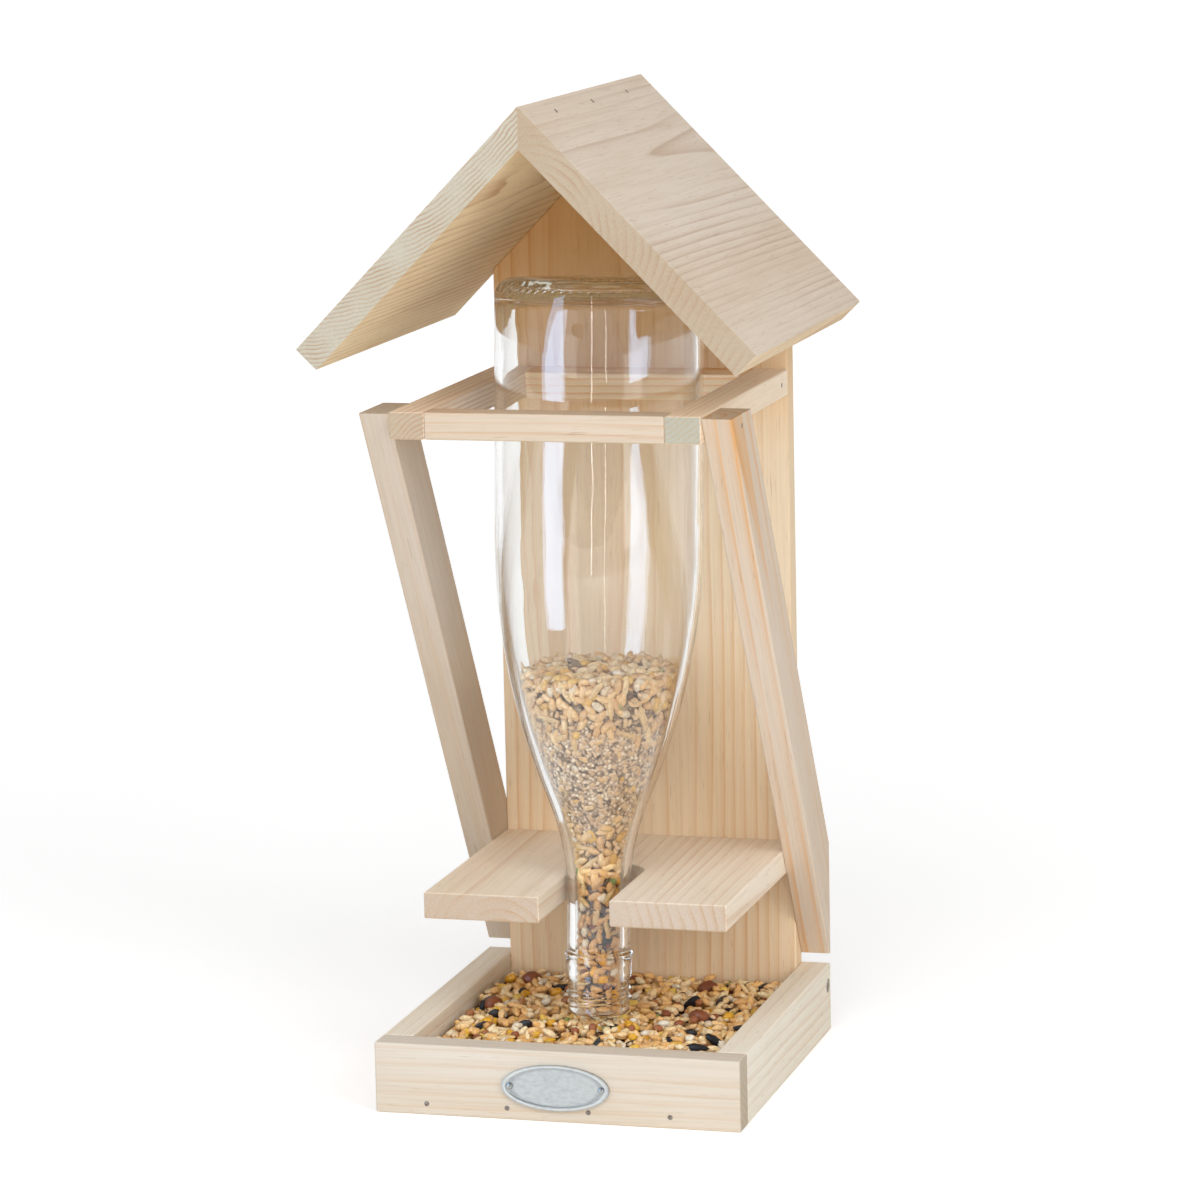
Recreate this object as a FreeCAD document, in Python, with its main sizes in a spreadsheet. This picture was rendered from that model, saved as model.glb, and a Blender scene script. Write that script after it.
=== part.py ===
import FreeCAD, Part
import math
import os
import Sketcher

# A bird feeder of pale softwood planks. A seed tray stands at the foot of a gabled back board.
# A ring and a slotted shelf on the board hold an upturned wine bottle, whose seed runs out into
# the tray, and two slanted struts tie the ring to the foot of the board under a mitred roof.
# +X is the feeder's right, +Y its back and +Z up. The origin is the middle of the tray's underside.

doc = FreeCAD.newDocument("bottle_feeder")
sizes = doc.addObject("Spreadsheet::Sheet", "sizes")

# Driving sizes, in millimetres and degrees
DRIVING_SIZES = {
    # Tray and back board
    "frame_depth": 154.0,
    "rail_thickness": 12.0,
    "rail_height": 28.0,
    "floor_thickness": 9.0,
    "board_thickness": 10.0,
    # Roof
    "roof_clearance": 14.1,
    "roof_pitch": 45.6,
    "roof_slope": 127.0,
    "roof_depth": 174.0,
    "roof_thickness": 11.0,
    # Ring round the bottle's body
    "ring_below_base": 45.3,
    "ring_side_gap": 6.0,
    "ring_setback": 4.0,
    "ring_height": 10.5,
    "ring_rail_width": 14.0,
    "ring_front_width": 12.0,
    "ring_rear_width": 20.0,
    # Shelf for the bottle's neck
    "shelf_top": 81.0,
    "shelf_thickness": 10.5,
    "shelf_setback": 30.0,
    "slot_gap": 1.75,
    "slot_depth": 64.0,
    # Struts
    "strut_thickness": 12.0,
    "strut_depth": 30.5,
    "strut_top_drop": 0.8,
    "strut_foot_gap": 4.0,
    "strut_foot": 1.2,
    # Bottle, measured along its axis from the mouth
    "bottle_height": 290.0,
    "bottle_diameter": 82.0,
    "bottle_wall": 3.0,
    "bottle_lean": 4.7,
    "mouth_height": 27.5,
    "neck_diameter": 25.0,
    "neck_top": 47.0,
    "shoulder_curve": 100.0,
    "shoulder_top": 189.0,
    "heel_radius": 7.0,
    "foot_width": 5.0,
    "punt_depth": 4.0,
    "punt_flat": 3.0,
    "base_wall": 3.0,
    "lip_diameter": 24.2,
    "lip_height": 5.0,
    "thread_rise": 0.8,
    "thread_height": 1.6,
    "thread_pitch": 3.6,
    "collar_start": 14.5,
    "collar_diameter": 26.0,
    "bead_start": 22.6,
    "bead_height": 1.8,
    "bead_rise": 0.5,
    # Seed
    "seed_bed_depth": 13.8,
    "seed_level": 164.0,
    "seed_heap_slope": 28.0,
    "seed_clearance": 0.3,
    # Name plate
    "plate_width": 43.0,
    "plate_height": 18.0,
    "plate_thickness": 0.9,
    "plate_rim_width": 1.5,
    "plate_rim_rise": 0.5,
    "plate_centre_height": 13.8,
    "pin_gap": 0.3,
    "pin_shank": 1.2,
    "pin_head": 2.8,
    "pin_length": 8.0,
    # Brads and screws
    "brad_shank": 1.3,
    "brad_head": 2.0,
    "brad_head_height": 1.0,
    "brad_point": 2.0,
    "brad_length": 25.0,
    "screw_shank": 3.0,
    "screw_head": 6.0,
    "screw_head_height": 2.0,
    "screw_point": 4.0,
    "screw_length": 24.0,
    "brad_height": 4.5,
    "front_brad_pitch": 32.5,
    "front_brad_offset": -3.5,
    "rear_brad_spacing": 80.0,
    "tray_screw_height": 19.5,
    "rear_screw_spacing": 60.0,
    "strut_nail_inset": 16.0,
    "ridge_brad_inset": 6.0,
    "ridge_brad_pitch": 50.0,
    # Fits
    "bottle_clearance": 0.3,
    "fastener_clearance": 0.05,
    "edge_round": 0.7,
}

for row, (size_name, size_value) in enumerate(DRIVING_SIZES.items(), start=1):
    sizes.set(f"A{row}", size_name)
    sizes.set(f"B{row}", str(size_value))
    sizes.setAlias(f"B{row}", size_name)
doc.recompute()

# Places that several pieces share, as expressions of the driving sizes
FRONT = "(-sizes.frame_depth / 2)"
REAR = "(sizes.frame_depth / 2)"
BOARD_FRONT = "(sizes.frame_depth / 2 - sizes.board_thickness)"
BOARD_MIDDLE = "(sizes.frame_depth / 2 - sizes.board_thickness / 2)"
HALF_CLEAR = "(sizes.bottle_diameter / 2 + sizes.ring_side_gap + sizes.ring_rail_width)"
TRAY_SIDE = f"({HALF_CLEAR} + sizes.rail_thickness)"
STRUT_SIDE = f"({HALF_CLEAR} + sizes.strut_thickness)"
INNER_FRONT = "(-sizes.frame_depth / 2 + sizes.rail_thickness)"
RING_FRONT = "(-sizes.frame_depth / 2 + sizes.ring_setback)"
REAR_BAR_FRONT = "(sizes.frame_depth / 2 - sizes.board_thickness - sizes.ring_rear_width)"
SHELF_FRONT = "(-sizes.frame_depth / 2 + sizes.shelf_setback)"
SHELF_MIDDLE = "(sizes.shelf_top - sizes.shelf_thickness / 2)"
PITCH = "(sizes.roof_pitch * 1 deg)"
LEAN = "(sizes.bottle_lean * 1 deg)"
BODY_RADIUS = "(sizes.bottle_diameter / 2)"
FOOT_OUTER = f"({BODY_RADIUS} - sizes.heel_radius)"
BOTTLE_TOP = (
    f"(sizes.mouth_height + sizes.bottle_height * cos({LEAN}) + {FOOT_OUTER} * sin({LEAN}))"
)
RING_TOP = f"({BOTTLE_TOP} - sizes.ring_below_base)"
RING_BOTTOM = f"({RING_TOP} - sizes.ring_height)"
RING_MIDDLE = f"({RING_TOP} - sizes.ring_height / 2)"
GABLE_TOP = f"({BOTTLE_TOP} + sizes.roof_clearance + {BODY_RADIUS} * tan({PITCH}))"
MITRE_DROP = f"(sizes.roof_thickness / cos({PITCH}))"
RIDGE_HEIGHT = f"({GABLE_TOP} + {MITRE_DROP})"

pieces = []


def number(expression):
    """The present value of an expression of the sheet, as a plain number."""
    value = sizes.evalExpression(expression)
    return float(getattr(value, "Value", value))


def put(obj, place):
    """Binds an object's place to three expressions."""
    for axis, expression in zip("xyz", place):
        obj.setExpression(f"Placement.Base.{axis}", expression)


def keep(obj, label):
    """Names a finished piece; its label is the name of its file."""
    obj.Label = label
    pieces.append(obj)
    return obj


# Sketches and planks

def new_body(name):
    return doc.addObject("PartDesign::Body", name)


def sketch_on(body, role, name):
    """An empty sketch on one of the body's own origin planes."""
    sketch = body.newObject("Sketcher::SketchObject", name)
    planes = [plane for plane in body.Origin.OriginFeatures if plane.Role == role]
    sketch.AttachmentSupport = [(planes[0], "")]
    sketch.MapMode = "FlatFace"
    return sketch


def arc_middle(start, end, radius, turns_left):
    """The middle of the shorter arc from start to end."""
    chord = end - start
    half = chord.Length / 2
    rise = radius - math.sqrt(max(radius ** 2 - half ** 2, 0.0))
    outward = FreeCAD.Vector(chord.y, -chord.x, 0).normalize()
    if not turns_left:
        outward = -outward
    return (start + end) / 2 + outward * rise


def draw_outline(sketch, corners):
    """Closes an outline. A corner is (across, up), or (across, up, radius, turns_left) where a
    round stretch starts. Every corner and radius is bound to its expression."""
    points = [FreeCAD.Vector(number(corner[0]), number(corner[1]), 0) for corner in corners]
    starts = []
    ends = []
    for index, corner in enumerate(corners):
        start = points[index]
        end = points[(index + 1) % len(points)]
        if len(corner) == 2:
            sketch.addGeometry(Part.LineSegment(start, end))
            starts.append((index, 1))
            ends.append((index, 2))
            continue
        turns_left = corner[3]
        middle = arc_middle(start, end, number(corner[2]), turns_left)
        sketch.addGeometry(Part.Arc(start, middle, end))
        starts.append((index, 1 if turns_left else 2))
        ends.append((index, 2 if turns_left else 1))
    for index, corner in enumerate(corners):
        following = starts[(index + 1) % len(corners)]
        sketch.addConstraint(Sketcher.Constraint("Coincident", *ends[index], *following))
        for kind, label, expression, value in (
            ("DistanceX", f"across_{index}", corner[0], points[index].x),
            ("DistanceY", f"up_{index}", corner[1], points[index].y),
        ):
            place = sketch.addConstraint(Sketcher.Constraint(kind, *starts[index], value))
            sketch.renameConstraint(place, label)
            sketch.setExpression(f"Constraints.{label}", expression)
        if len(corner) == 4:
            radius = Sketcher.Constraint("Radius", index, number(corner[2]))
            place = sketch.addConstraint(radius)
            sketch.renameConstraint(place, f"radius_{index}")
            sketch.setExpression(f"Constraints.radius_{index}", corner[2])


def plank(name, role, corners, thickness, place, is_round=None):
    """A board cut to an outline, with eased edges. is_round picks the edges that are eased."""
    body = new_body(name)
    sketch = sketch_on(body, role, f"{name}_outline")
    draw_outline(sketch, corners)
    pad = body.newObject("PartDesign::Pad", f"{name}_pad")
    pad.Profile = sketch
    pad.setExpression("Length", thickness)
    doc.recompute()
    edges = [
        f"Edge{index}"
        for index, edge in enumerate(pad.Shape.Edges, start=1)
        if is_round is None or is_round(edge)
    ]
    ease = body.newObject("PartDesign::Fillet", f"{name}_ease")
    ease.Base = (pad, edges)
    ease.setExpression("Radius", "sizes.edge_round")
    put(body, place)
    return body


def rectangle(left, right, low, high):
    return [(left, low), (right, low), (right, high), (left, high)]


def drilled(label, body, *drill_groups):
    """The finished plank, cleared for every fastener that enters it."""
    drills = [drill for group in drill_groups for drill in group]
    if not drills:
        return keep(body, label)
    tool = doc.addObject("Part::Compound", f"{label}_drills")
    tool.Links = drills
    cut = doc.addObject("Part::Cut", f"{label}_drilled")
    cut.Base = body
    cut.Tool = tool
    return keep(cut, label)


# Fasteners, each driven from the middle of its head along a direction

class Direction:
    """A way to drive a fastener: the turn that points +Z along it, and its three shares."""

    def __init__(self, axis, angle, shares):
        self.axis = FreeCAD.Vector(*axis)
        self.angle = angle
        self.shares = shares

    def place(self, obj, spot, offset):
        obj.Placement = FreeCAD.Placement(
            FreeCAD.Vector(), FreeCAD.Rotation(self.axis, number(self.angle))
        )
        obj.setExpression("Placement.Rotation.Angle", self.angle)
        put(obj, [f"{base} + ({offset}) * ({share})" for base, share in zip(spot, self.shares)])


INTO_BACK = Direction((-1, 0, 0), "90", ("0", "1", "0"))
INTO_FRONT = Direction((1, 0, 0), "90", ("0", "-1", "0"))
INTO_RIGHT = Direction((0, 1, 0), "90", ("1", "0", "0"))
INTO_LEFT = Direction((0, -1, 0), "90", ("-1", "0", "0"))
INTO_RIGHT_PLANK = Direction(
    (0, -1, 0), "180 - sizes.roof_pitch", (f"-sin({PITCH})", "0", f"-cos({PITCH})")
)

# How far a drill starts outside the surface that it enters
DRILL_LEAD = "1"


def cylinder(name, spot, direction, offset, radius, height):
    obj = doc.addObject("Part::Cylinder", name)
    obj.setExpression("Radius", radius)
    obj.setExpression("Height", height)
    direction.place(obj, spot, offset)
    return obj


def cone(name, spot, direction, offset, first_radius, last_radius, height):
    obj = doc.addObject("Part::Cone", name)
    obj.setExpression("Radius1", first_radius)
    obj.setExpression("Radius2", last_radius)
    obj.setExpression("Height", height)
    direction.place(obj, spot, offset)
    return obj


def join(name, parts):
    fuse = doc.addObject("Part::MultiFuse", name)
    fuse.Shapes = parts
    return fuse


def brad(name, spot, direction):
    """A small flush-headed nail, and the drills that clear it."""
    clear = "sizes.fastener_clearance"
    shank = "sizes.brad_shank / 2"
    point_start = "sizes.brad_length - sizes.brad_point"
    nail = join(name, [
        cylinder(f"{name}_head", spot, direction, "0", "sizes.brad_head / 2",
                 "sizes.brad_head_height"),
        cylinder(f"{name}_shank", spot, direction, "0", shank, point_start),
        cone(f"{name}_point", spot, direction, point_start, shank, "0.1 * " + shank,
             "sizes.brad_point"),
    ])
    drills = [
        cylinder(f"{name}_head_drill", spot, direction, f"-{DRILL_LEAD}",
                 f"sizes.brad_head / 2 + {clear}",
                 f"sizes.brad_head_height + {clear} + {DRILL_LEAD}"),
        cylinder(f"{name}_shank_drill", spot, direction, "0", f"{shank} + {clear}",
                 f"sizes.brad_length + {clear}"),
    ]
    return nail, drills


def screw(name, spot, direction):
    """A countersunk wood screw with a cross recess, and the drills that clear it."""
    clear = "sizes.fastener_clearance"
    shank = "sizes.screw_shank / 2"
    head = "sizes.screw_head / 2"
    head_height = "sizes.screw_head_height"
    point_start = "sizes.screw_length - sizes.screw_point"
    blank = join(f"{name}_blank", [
        cone(f"{name}_head", spot, direction, "0", head, shank, head_height),
        cylinder(f"{name}_shank", spot, direction, "0", shank, point_start),
        cone(f"{name}_point", spot, direction, point_start, shank, "0.1 * " + shank,
             "sizes.screw_point"),
    ])
    recess = cone(f"{name}_recess", spot, direction, "0", f"0.45 * {head}", f"0.1 * {head}",
                  f"0.8 * {head_height}")
    cut = doc.addObject("Part::Cut", name)
    cut.Base = blank
    cut.Tool = recess
    drills = [
        cone(f"{name}_head_drill", spot, direction, "0", f"{head} + {clear}",
             f"{shank} + {clear}", f"{head_height}"),
        cylinder(f"{name}_shank_drill", spot, direction, "0", f"{shank} + {clear}",
                 f"sizes.screw_length + {clear}"),
    ]
    return cut, drills


def fasteners(label, kind, drives):
    """Like fasteners in one node. drives lists (spot, direction); the drills come back."""
    made = [kind(f"{label}_{index}", *drive) for index, drive in enumerate(drives, start=1)]
    group = doc.addObject("Part::Compound", f"{label}_group")
    group.Links = [solid for solid, _ in made]
    keep(group, label)
    return [drills for _, drills in made]


def flat(groups):
    return [drill for group in groups for drill in group]


# Brads of the tray floor

front_brads = flat(fasteners("tray_front_brads", brad, [
    ((f"sizes.front_brad_offset + ({step}) * sizes.front_brad_pitch", FRONT, "sizes.brad_height"),
     INTO_BACK)
    for step in (-1.5, -0.5, 0.5, 1.5)
]))

rear_brads = flat(fasteners("tray_rear_brads", brad, [
    ((f"({half}) * sizes.rear_brad_spacing", REAR, "sizes.brad_height"), INTO_FRONT)
    for half in (-0.5, 0.5)
]))

# Screws that hold the side rails, the ring and the shelf to the board

tray_screws = fasteners("tray_rear_screws", screw, [
    ((f"-{TRAY_SIDE}", BOARD_MIDDLE, "sizes.tray_screw_height"), INTO_RIGHT),
    ((TRAY_SIDE, BOARD_MIDDLE, "sizes.tray_screw_height"), INTO_LEFT),
])

ring_screws = flat(fasteners("ring_screws", screw, [
    ((f"({half}) * sizes.rear_screw_spacing", REAR, RING_MIDDLE), INTO_FRONT)
    for half in (-0.5, 0.5)
]))

shelf_screws = flat(fasteners("shelf_screws", screw, [
    ((f"({half}) * sizes.rear_screw_spacing", REAR, SHELF_MIDDLE), INTO_FRONT)
    for half in (-0.5, 0.5)
]))

# Nails at the ring's corners, through the side rails into the cross bars

CORNER_PLACES = (
    f"{RING_FRONT} + sizes.ring_front_width / 2",
    f"{REAR_BAR_FRONT} + sizes.ring_rear_width / 2",
)
corner_nails = fasteners("ring_corner_nails", brad, [
    ((side, along, RING_MIDDLE), direction)
    for side, direction in ((f"-{HALF_CLEAR}", INTO_RIGHT), (HALF_CLEAR, INTO_LEFT))
    for along in CORNER_PLACES
])
left_corner_nails = flat(corner_nails[:len(CORNER_PLACES)])
right_corner_nails = flat(corner_nails[len(CORNER_PLACES):])

# Nails of the struts: one near the top of each, into the ring's side rail

STRUT_NAIL_PLACE = f"{RING_FRONT} + sizes.strut_nail_inset"
left_strut_nail, right_strut_nail = fasteners("strut_nails", brad, [
    ((side, STRUT_NAIL_PLACE, RING_MIDDLE), direction)
    for side, direction in ((f"-{STRUT_SIDE}", INTO_RIGHT), (STRUT_SIDE, INTO_LEFT))
])

# Brads of the roof, along the ridge

ROOF_MIDDLE = f"({REAR} - sizes.roof_depth / 2)"
RIDGE_BRAD_ACROSS = f"(sizes.ridge_brad_inset * cos({PITCH}))"
RIDGE_BRAD_UP = f"({RIDGE_HEIGHT} - sizes.ridge_brad_inset * sin({PITCH}))"
ridge_brads = flat(fasteners("roof_ridge_brads", brad, [
    ((RIDGE_BRAD_ACROSS, f"{ROOF_MIDDLE} + ({step}) * sizes.ridge_brad_pitch", RIDGE_BRAD_UP),
     INTO_RIGHT_PLANK)
    for step in (-1, 0, 1)
]))

# Name plate: a bare oval with a raised rim, on two round-headed pins


def oval(name, inset, offset, thickness):
    """An upright oval slab, its front a given distance before the front rail."""
    edge = doc.addObject("Part::Ellipse", f"{name}_edge")
    edge.setExpression("MajorRadius", f"sizes.plate_width / 2 - {inset}")
    edge.setExpression("MinorRadius", f"sizes.plate_height / 2 - {inset}")
    INTO_BACK.place(edge, ("0", FRONT, "sizes.plate_centre_height"), f"-({offset})")
    slab = doc.addObject("Part::Extrusion", name)
    slab.Base = edge
    slab.DirMode = "Custom"
    slab.Dir = FreeCAD.Vector(0, 1, 0)
    slab.Solid = True
    slab.setExpression("LengthFwd", thickness)
    return slab


PLATE_FACE = "sizes.plate_thickness"
RIM_FACE = "(sizes.plate_thickness + sizes.plate_rim_rise)"
plate_blank = oval("plate_blank", "0", RIM_FACE, RIM_FACE)
plate_hollow = oval(
    "plate_hollow", "sizes.plate_rim_width", RIM_FACE + f" + {DRILL_LEAD}",
    f"sizes.plate_rim_rise + {DRILL_LEAD}"
)
plate_rimmed = doc.addObject("Part::Cut", "plate_rimmed")
plate_rimmed.Base = plate_blank
plate_rimmed.Tool = plate_hollow


def pin(name, spot, direction):
    """A round-headed pin, and the drill that clears its shank."""
    dome = doc.addObject("Part::Sphere", f"{name}_dome")
    dome.setExpression("Radius", "sizes.pin_head / 2")
    dome.Angle1 = -90
    dome.Angle2 = 0
    direction.place(dome, spot, "0")
    shank = cylinder(f"{name}_shank", spot, direction, "0", "sizes.pin_shank / 2",
                     "sizes.pin_length")
    drill = cylinder(f"{name}_drill", spot, direction, "0",
                     "sizes.pin_shank / 2 + sizes.fastener_clearance",
                     "sizes.pin_length + sizes.fastener_clearance")
    return join(name, [dome, shank]), [drill]


PIN_ACROSS = (
    "(sizes.plate_width / 2 - sizes.plate_rim_width - sizes.pin_head / 2 - sizes.pin_gap)"
)
plate_pins = flat(fasteners("name_plate_pins", pin, [
    ((f"({side}) * {PIN_ACROSS}", f"{FRONT} - {PLATE_FACE}", "sizes.plate_centre_height"),
     INTO_BACK)
    for side in (-1, 1)
]))
drilled("name_plate", plate_rimmed, plate_pins)

# Tray: a front rail across the whole width, side rails butted behind it, and a floor panel

SIDE_RAIL_LENGTH = "sizes.frame_depth - sizes.rail_thickness"
front_rail = plank(
    "front_rail", "XY_Plane",
    rectangle(f"-{TRAY_SIDE}", TRAY_SIDE, "0", "sizes.rail_thickness"),
    "sizes.rail_height", ("0", FRONT, "0"),
)
drilled("tray_front_rail", front_rail, front_brads, plate_pins)

for label, left_edge, rail_drills in (
    ("tray_left_rail", f"-{TRAY_SIDE}", tray_screws[0]),
    ("tray_right_rail", HALF_CLEAR, tray_screws[1]),
):
    rail = plank(
        f"{label}_blank", "XY_Plane",
        rectangle("0", "sizes.rail_thickness", "0", SIDE_RAIL_LENGTH),
        "sizes.rail_height", (left_edge, INNER_FRONT, "0"),
    )
    drilled(label, rail, rail_drills)

floor_panel = plank(
    "floor_panel", "XY_Plane",
    rectangle(f"-{HALF_CLEAR}", HALF_CLEAR, INNER_FRONT, BOARD_FRONT),
    "sizes.floor_thickness", ("0", "0", "0"),
)
drilled("tray_floor", floor_panel, front_brads, rear_brads)

# Back board: it stands between the side rails and ends in a gable under the roof

BOARD_SIDE_TOP = f"({GABLE_TOP} - {HALF_CLEAR} * tan({PITCH}))"
board = plank(
    "board", "XZ_Plane",
    [
        (f"-{HALF_CLEAR}", "0"),
        (HALF_CLEAR, "0"),
        (HALF_CLEAR, BOARD_SIDE_TOP),
        ("0", GABLE_TOP),
        (f"-{HALF_CLEAR}", BOARD_SIDE_TOP),
    ],
    "sizes.board_thickness", ("0", REAR, "0"),
)
drilled("back_board", board, rear_brads, flat(tray_screws), ring_screws, shelf_screws)

# Neck shelf: its slot is open at the front and round at the back

HALF_SLOT = "(sizes.neck_diameter / 2 + sizes.slot_gap)"
SHELF_DEPTH = f"({BOARD_FRONT} - {SHELF_FRONT})"
SLOT_BEND = f"(sizes.slot_depth - {HALF_SLOT})"
shelf = plank(
    "shelf", "XY_Plane",
    [
        (f"-{HALF_CLEAR}", "0"),
        (f"-{HALF_SLOT}", "0"),
        (f"-{HALF_SLOT}", SLOT_BEND, HALF_SLOT, False),
        ("0", "sizes.slot_depth", HALF_SLOT, False),
        (HALF_SLOT, SLOT_BEND),
        (HALF_SLOT, "0"),
        (HALF_CLEAR, "0"),
        (HALF_CLEAR, SHELF_DEPTH),
        (f"-{HALF_CLEAR}", SHELF_DEPTH),
    ],
    "sizes.shelf_thickness", ("0", SHELF_FRONT, "sizes.shelf_top - sizes.shelf_thickness"),
)
drilled("neck_shelf", shelf, shelf_screws)

# Ring: two side rails up to the board, with a cross bar before and behind the bottle

RING_LENGTH = f"({BOARD_FRONT} - {RING_FRONT})"
BAR_HALF = f"({HALF_CLEAR} - sizes.ring_rail_width)"
for label, left_edge, nails, strut_nail in (
    ("ring_left_rail", f"-{HALF_CLEAR}", left_corner_nails, left_strut_nail),
    ("ring_right_rail", BAR_HALF, right_corner_nails, right_strut_nail),
):
    rail = plank(
        f"{label}_blank", "XY_Plane",
        rectangle("0", "sizes.ring_rail_width", "0", RING_LENGTH),
        "sizes.ring_height", (left_edge, RING_FRONT, RING_BOTTOM),
    )
    drilled(label, rail, nails, strut_nail)

for label, width, near_edge, screws in (
    ("ring_front_bar", "sizes.ring_front_width", RING_FRONT, []),
    ("ring_rear_bar", "sizes.ring_rear_width", REAR_BAR_FRONT, ring_screws),
):
    bar = plank(
        f"{label}_blank", "XY_Plane", rectangle(f"-{BAR_HALF}", BAR_HALF, "0", width),
        "sizes.ring_height", ("0", near_edge, RING_BOTTOM),
    )
    drilled(label, bar, left_corner_nails, right_corner_nails, screws)

# Struts: slanted planks on the outside, cut upright where they lie along the board's edge

STRUT_TOP = f"({RING_TOP} - sizes.strut_top_drop)"
STRUT_BOTTOM = "(sizes.rail_height + sizes.strut_foot_gap)"
STRUT_RUN = "(sizes.frame_depth - sizes.strut_foot - sizes.ring_setback)"
STRUT_SLOPE = f"({STRUT_RUN} / ({STRUT_TOP} - {STRUT_BOTTOM}))"
STRUT_REAR_RUN = "(sizes.frame_depth - sizes.ring_setback - sizes.strut_depth)"
STRUT_CORNER = f"({STRUT_TOP} - {STRUT_REAR_RUN} / {STRUT_SLOPE})"


def is_slanted(edge):
    run = edge.Vertexes[1].Point - edge.Vertexes[0].Point
    return abs(run.y) > 0.1 and abs(run.z) > 0.1


for label, left_edge, nail in (
    ("left_strut", f"-{STRUT_SIDE}", left_strut_nail),
    ("right_strut", HALF_CLEAR, right_strut_nail),
):
    strut = plank(
        f"{label}_blank", "YZ_Plane",
        [
            (RING_FRONT, STRUT_TOP),
            (f"{REAR} - sizes.strut_foot", STRUT_BOTTOM),
            (REAR, STRUT_BOTTOM),
            (REAR, STRUT_CORNER),
            (f"{RING_FRONT} + sizes.strut_depth", STRUT_TOP),
        ],
        "sizes.strut_thickness", (left_edge, "0", "0"), is_slanted,
    )
    drilled(label, strut, nail)

# Roof: two planks, mitred upright at the ridge and square at the eaves

EAVE_ACROSS = f"sizes.roof_slope * cos({PITCH})"
EAVE_DROP = f"sizes.roof_slope * sin({PITCH})"
UNDER_ACROSS = f"({EAVE_ACROSS} - sizes.roof_thickness * sin({PITCH}))"
UNDER_DROP = f"({EAVE_DROP} + sizes.roof_thickness * cos({PITCH}))"


def is_clear_of_ridge(edge):
    return all(abs(vertex.X) > 0.1 for vertex in edge.Vertexes)


for label, side in (("roof_left_plank", -1), ("roof_right_plank", 1)):
    roof_plank = plank(
        f"{label}_blank", "XZ_Plane",
        [
            ("0", "0"),
            ("0", f"-{MITRE_DROP}"),
            (f"({side}) * {UNDER_ACROSS}", f"-{UNDER_DROP}"),
            (f"({side}) * {EAVE_ACROSS}", f"-{EAVE_DROP}"),
        ],
        "sizes.roof_depth", ("0", REAR, RIDGE_HEIGHT), is_clear_of_ridge,
    )
    drilled(label, roof_plank, ridge_brads)

# Bottle: blown glass of one wall, upturned, leaning back on the ring's rear bar

NECK_RADIUS = "(sizes.neck_diameter / 2)"
LIP_RADIUS = "(sizes.lip_diameter / 2)"
BORE_RADIUS = "(sizes.neck_diameter / 2 - sizes.bottle_wall)"
SHOULDER_RUN = "(sizes.shoulder_top - sizes.neck_top)"
SHOULDER_ANGLE = f"(2 * atan(({BODY_RADIUS} - {NECK_RADIUS}) / {SHOULDER_RUN}))"
UPPER_CURVE = f"({SHOULDER_RUN} / sin({SHOULDER_ANGLE}) - sizes.shoulder_curve)"
TURN_ACROSS = f"({NECK_RADIUS} + sizes.shoulder_curve * (1 - cos({SHOULDER_ANGLE})))"
TURN_UP = f"(sizes.neck_top + sizes.shoulder_curve * sin({SHOULDER_ANGLE}))"


def shoulder(depth):
    """Corners of the neck and shoulder, a depth inside the outer face, from the neck upwards."""
    return [
        (f"{NECK_RADIUS} - ({depth})", "sizes.neck_top",
         f"sizes.shoulder_curve + {depth}", False),
        (f"{TURN_ACROSS} - ({depth}) * cos({SHOULDER_ANGLE})",
         f"{TURN_UP} + ({depth}) * sin({SHOULDER_ANGLE})", f"{UPPER_CURVE} - ({depth})", True),
        (f"{BODY_RADIUS} - ({depth})", "sizes.shoulder_top"),
    ]


def back_down(corners):
    """The same corners in the other order, with each round stretch turning the other way."""
    places = [corner[:2] for corner in corners][::-1]
    bends = [corner[2:] for corner in corners[:-1]][::-1]
    turned = [place + (bend[0], not bend[1]) for place, bend in zip(places, bends)]
    return turned + [places[-1]]


def ridge(start, root, rise, height, slope):
    """Corners of a raised band round the neck, with sloping sides."""
    return [
        (root, start),
        (f"{root} + {rise}", f"{start} + {slope}"),
        (f"{root} + {rise}", f"{start} + {height} - {slope}"),
        (root, f"{start} + {height}"),
    ]


THREAD_SLOPE = "0.25 * sizes.thread_height"
COLLAR_RADIUS = "(sizes.collar_diameter / 2)"
FOOT_INNER = f"({FOOT_OUTER} - sizes.foot_width)"
PUNT_RADIUS = f"(({FOOT_INNER} * {FOOT_INNER} / sizes.punt_depth + sizes.punt_depth) / 2)"
PUNT_CENTRE = f"(sizes.bottle_height - sizes.punt_depth + {PUNT_RADIUS})"
INNER_DOME = f"({PUNT_RADIUS} + sizes.base_wall)"
INNER_FLOOR = "(sizes.bottle_height - sizes.heel_radius)"


def chord(radius, distance):
    """Half the chord of a circle, at a distance from its centre."""
    return f"sqrt({radius} * {radius} - {distance} * {distance})"


PUNT_TOP = f"({PUNT_CENTRE} - {chord(PUNT_RADIUS, 'sizes.punt_flat')})"
INNER_TOP = f"({PUNT_CENTRE} - {chord(INNER_DOME, 'sizes.punt_flat')})"
INNER_DOME_EDGE = chord(INNER_DOME, f"({PUNT_CENTRE} - {INNER_FLOOR})")

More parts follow.
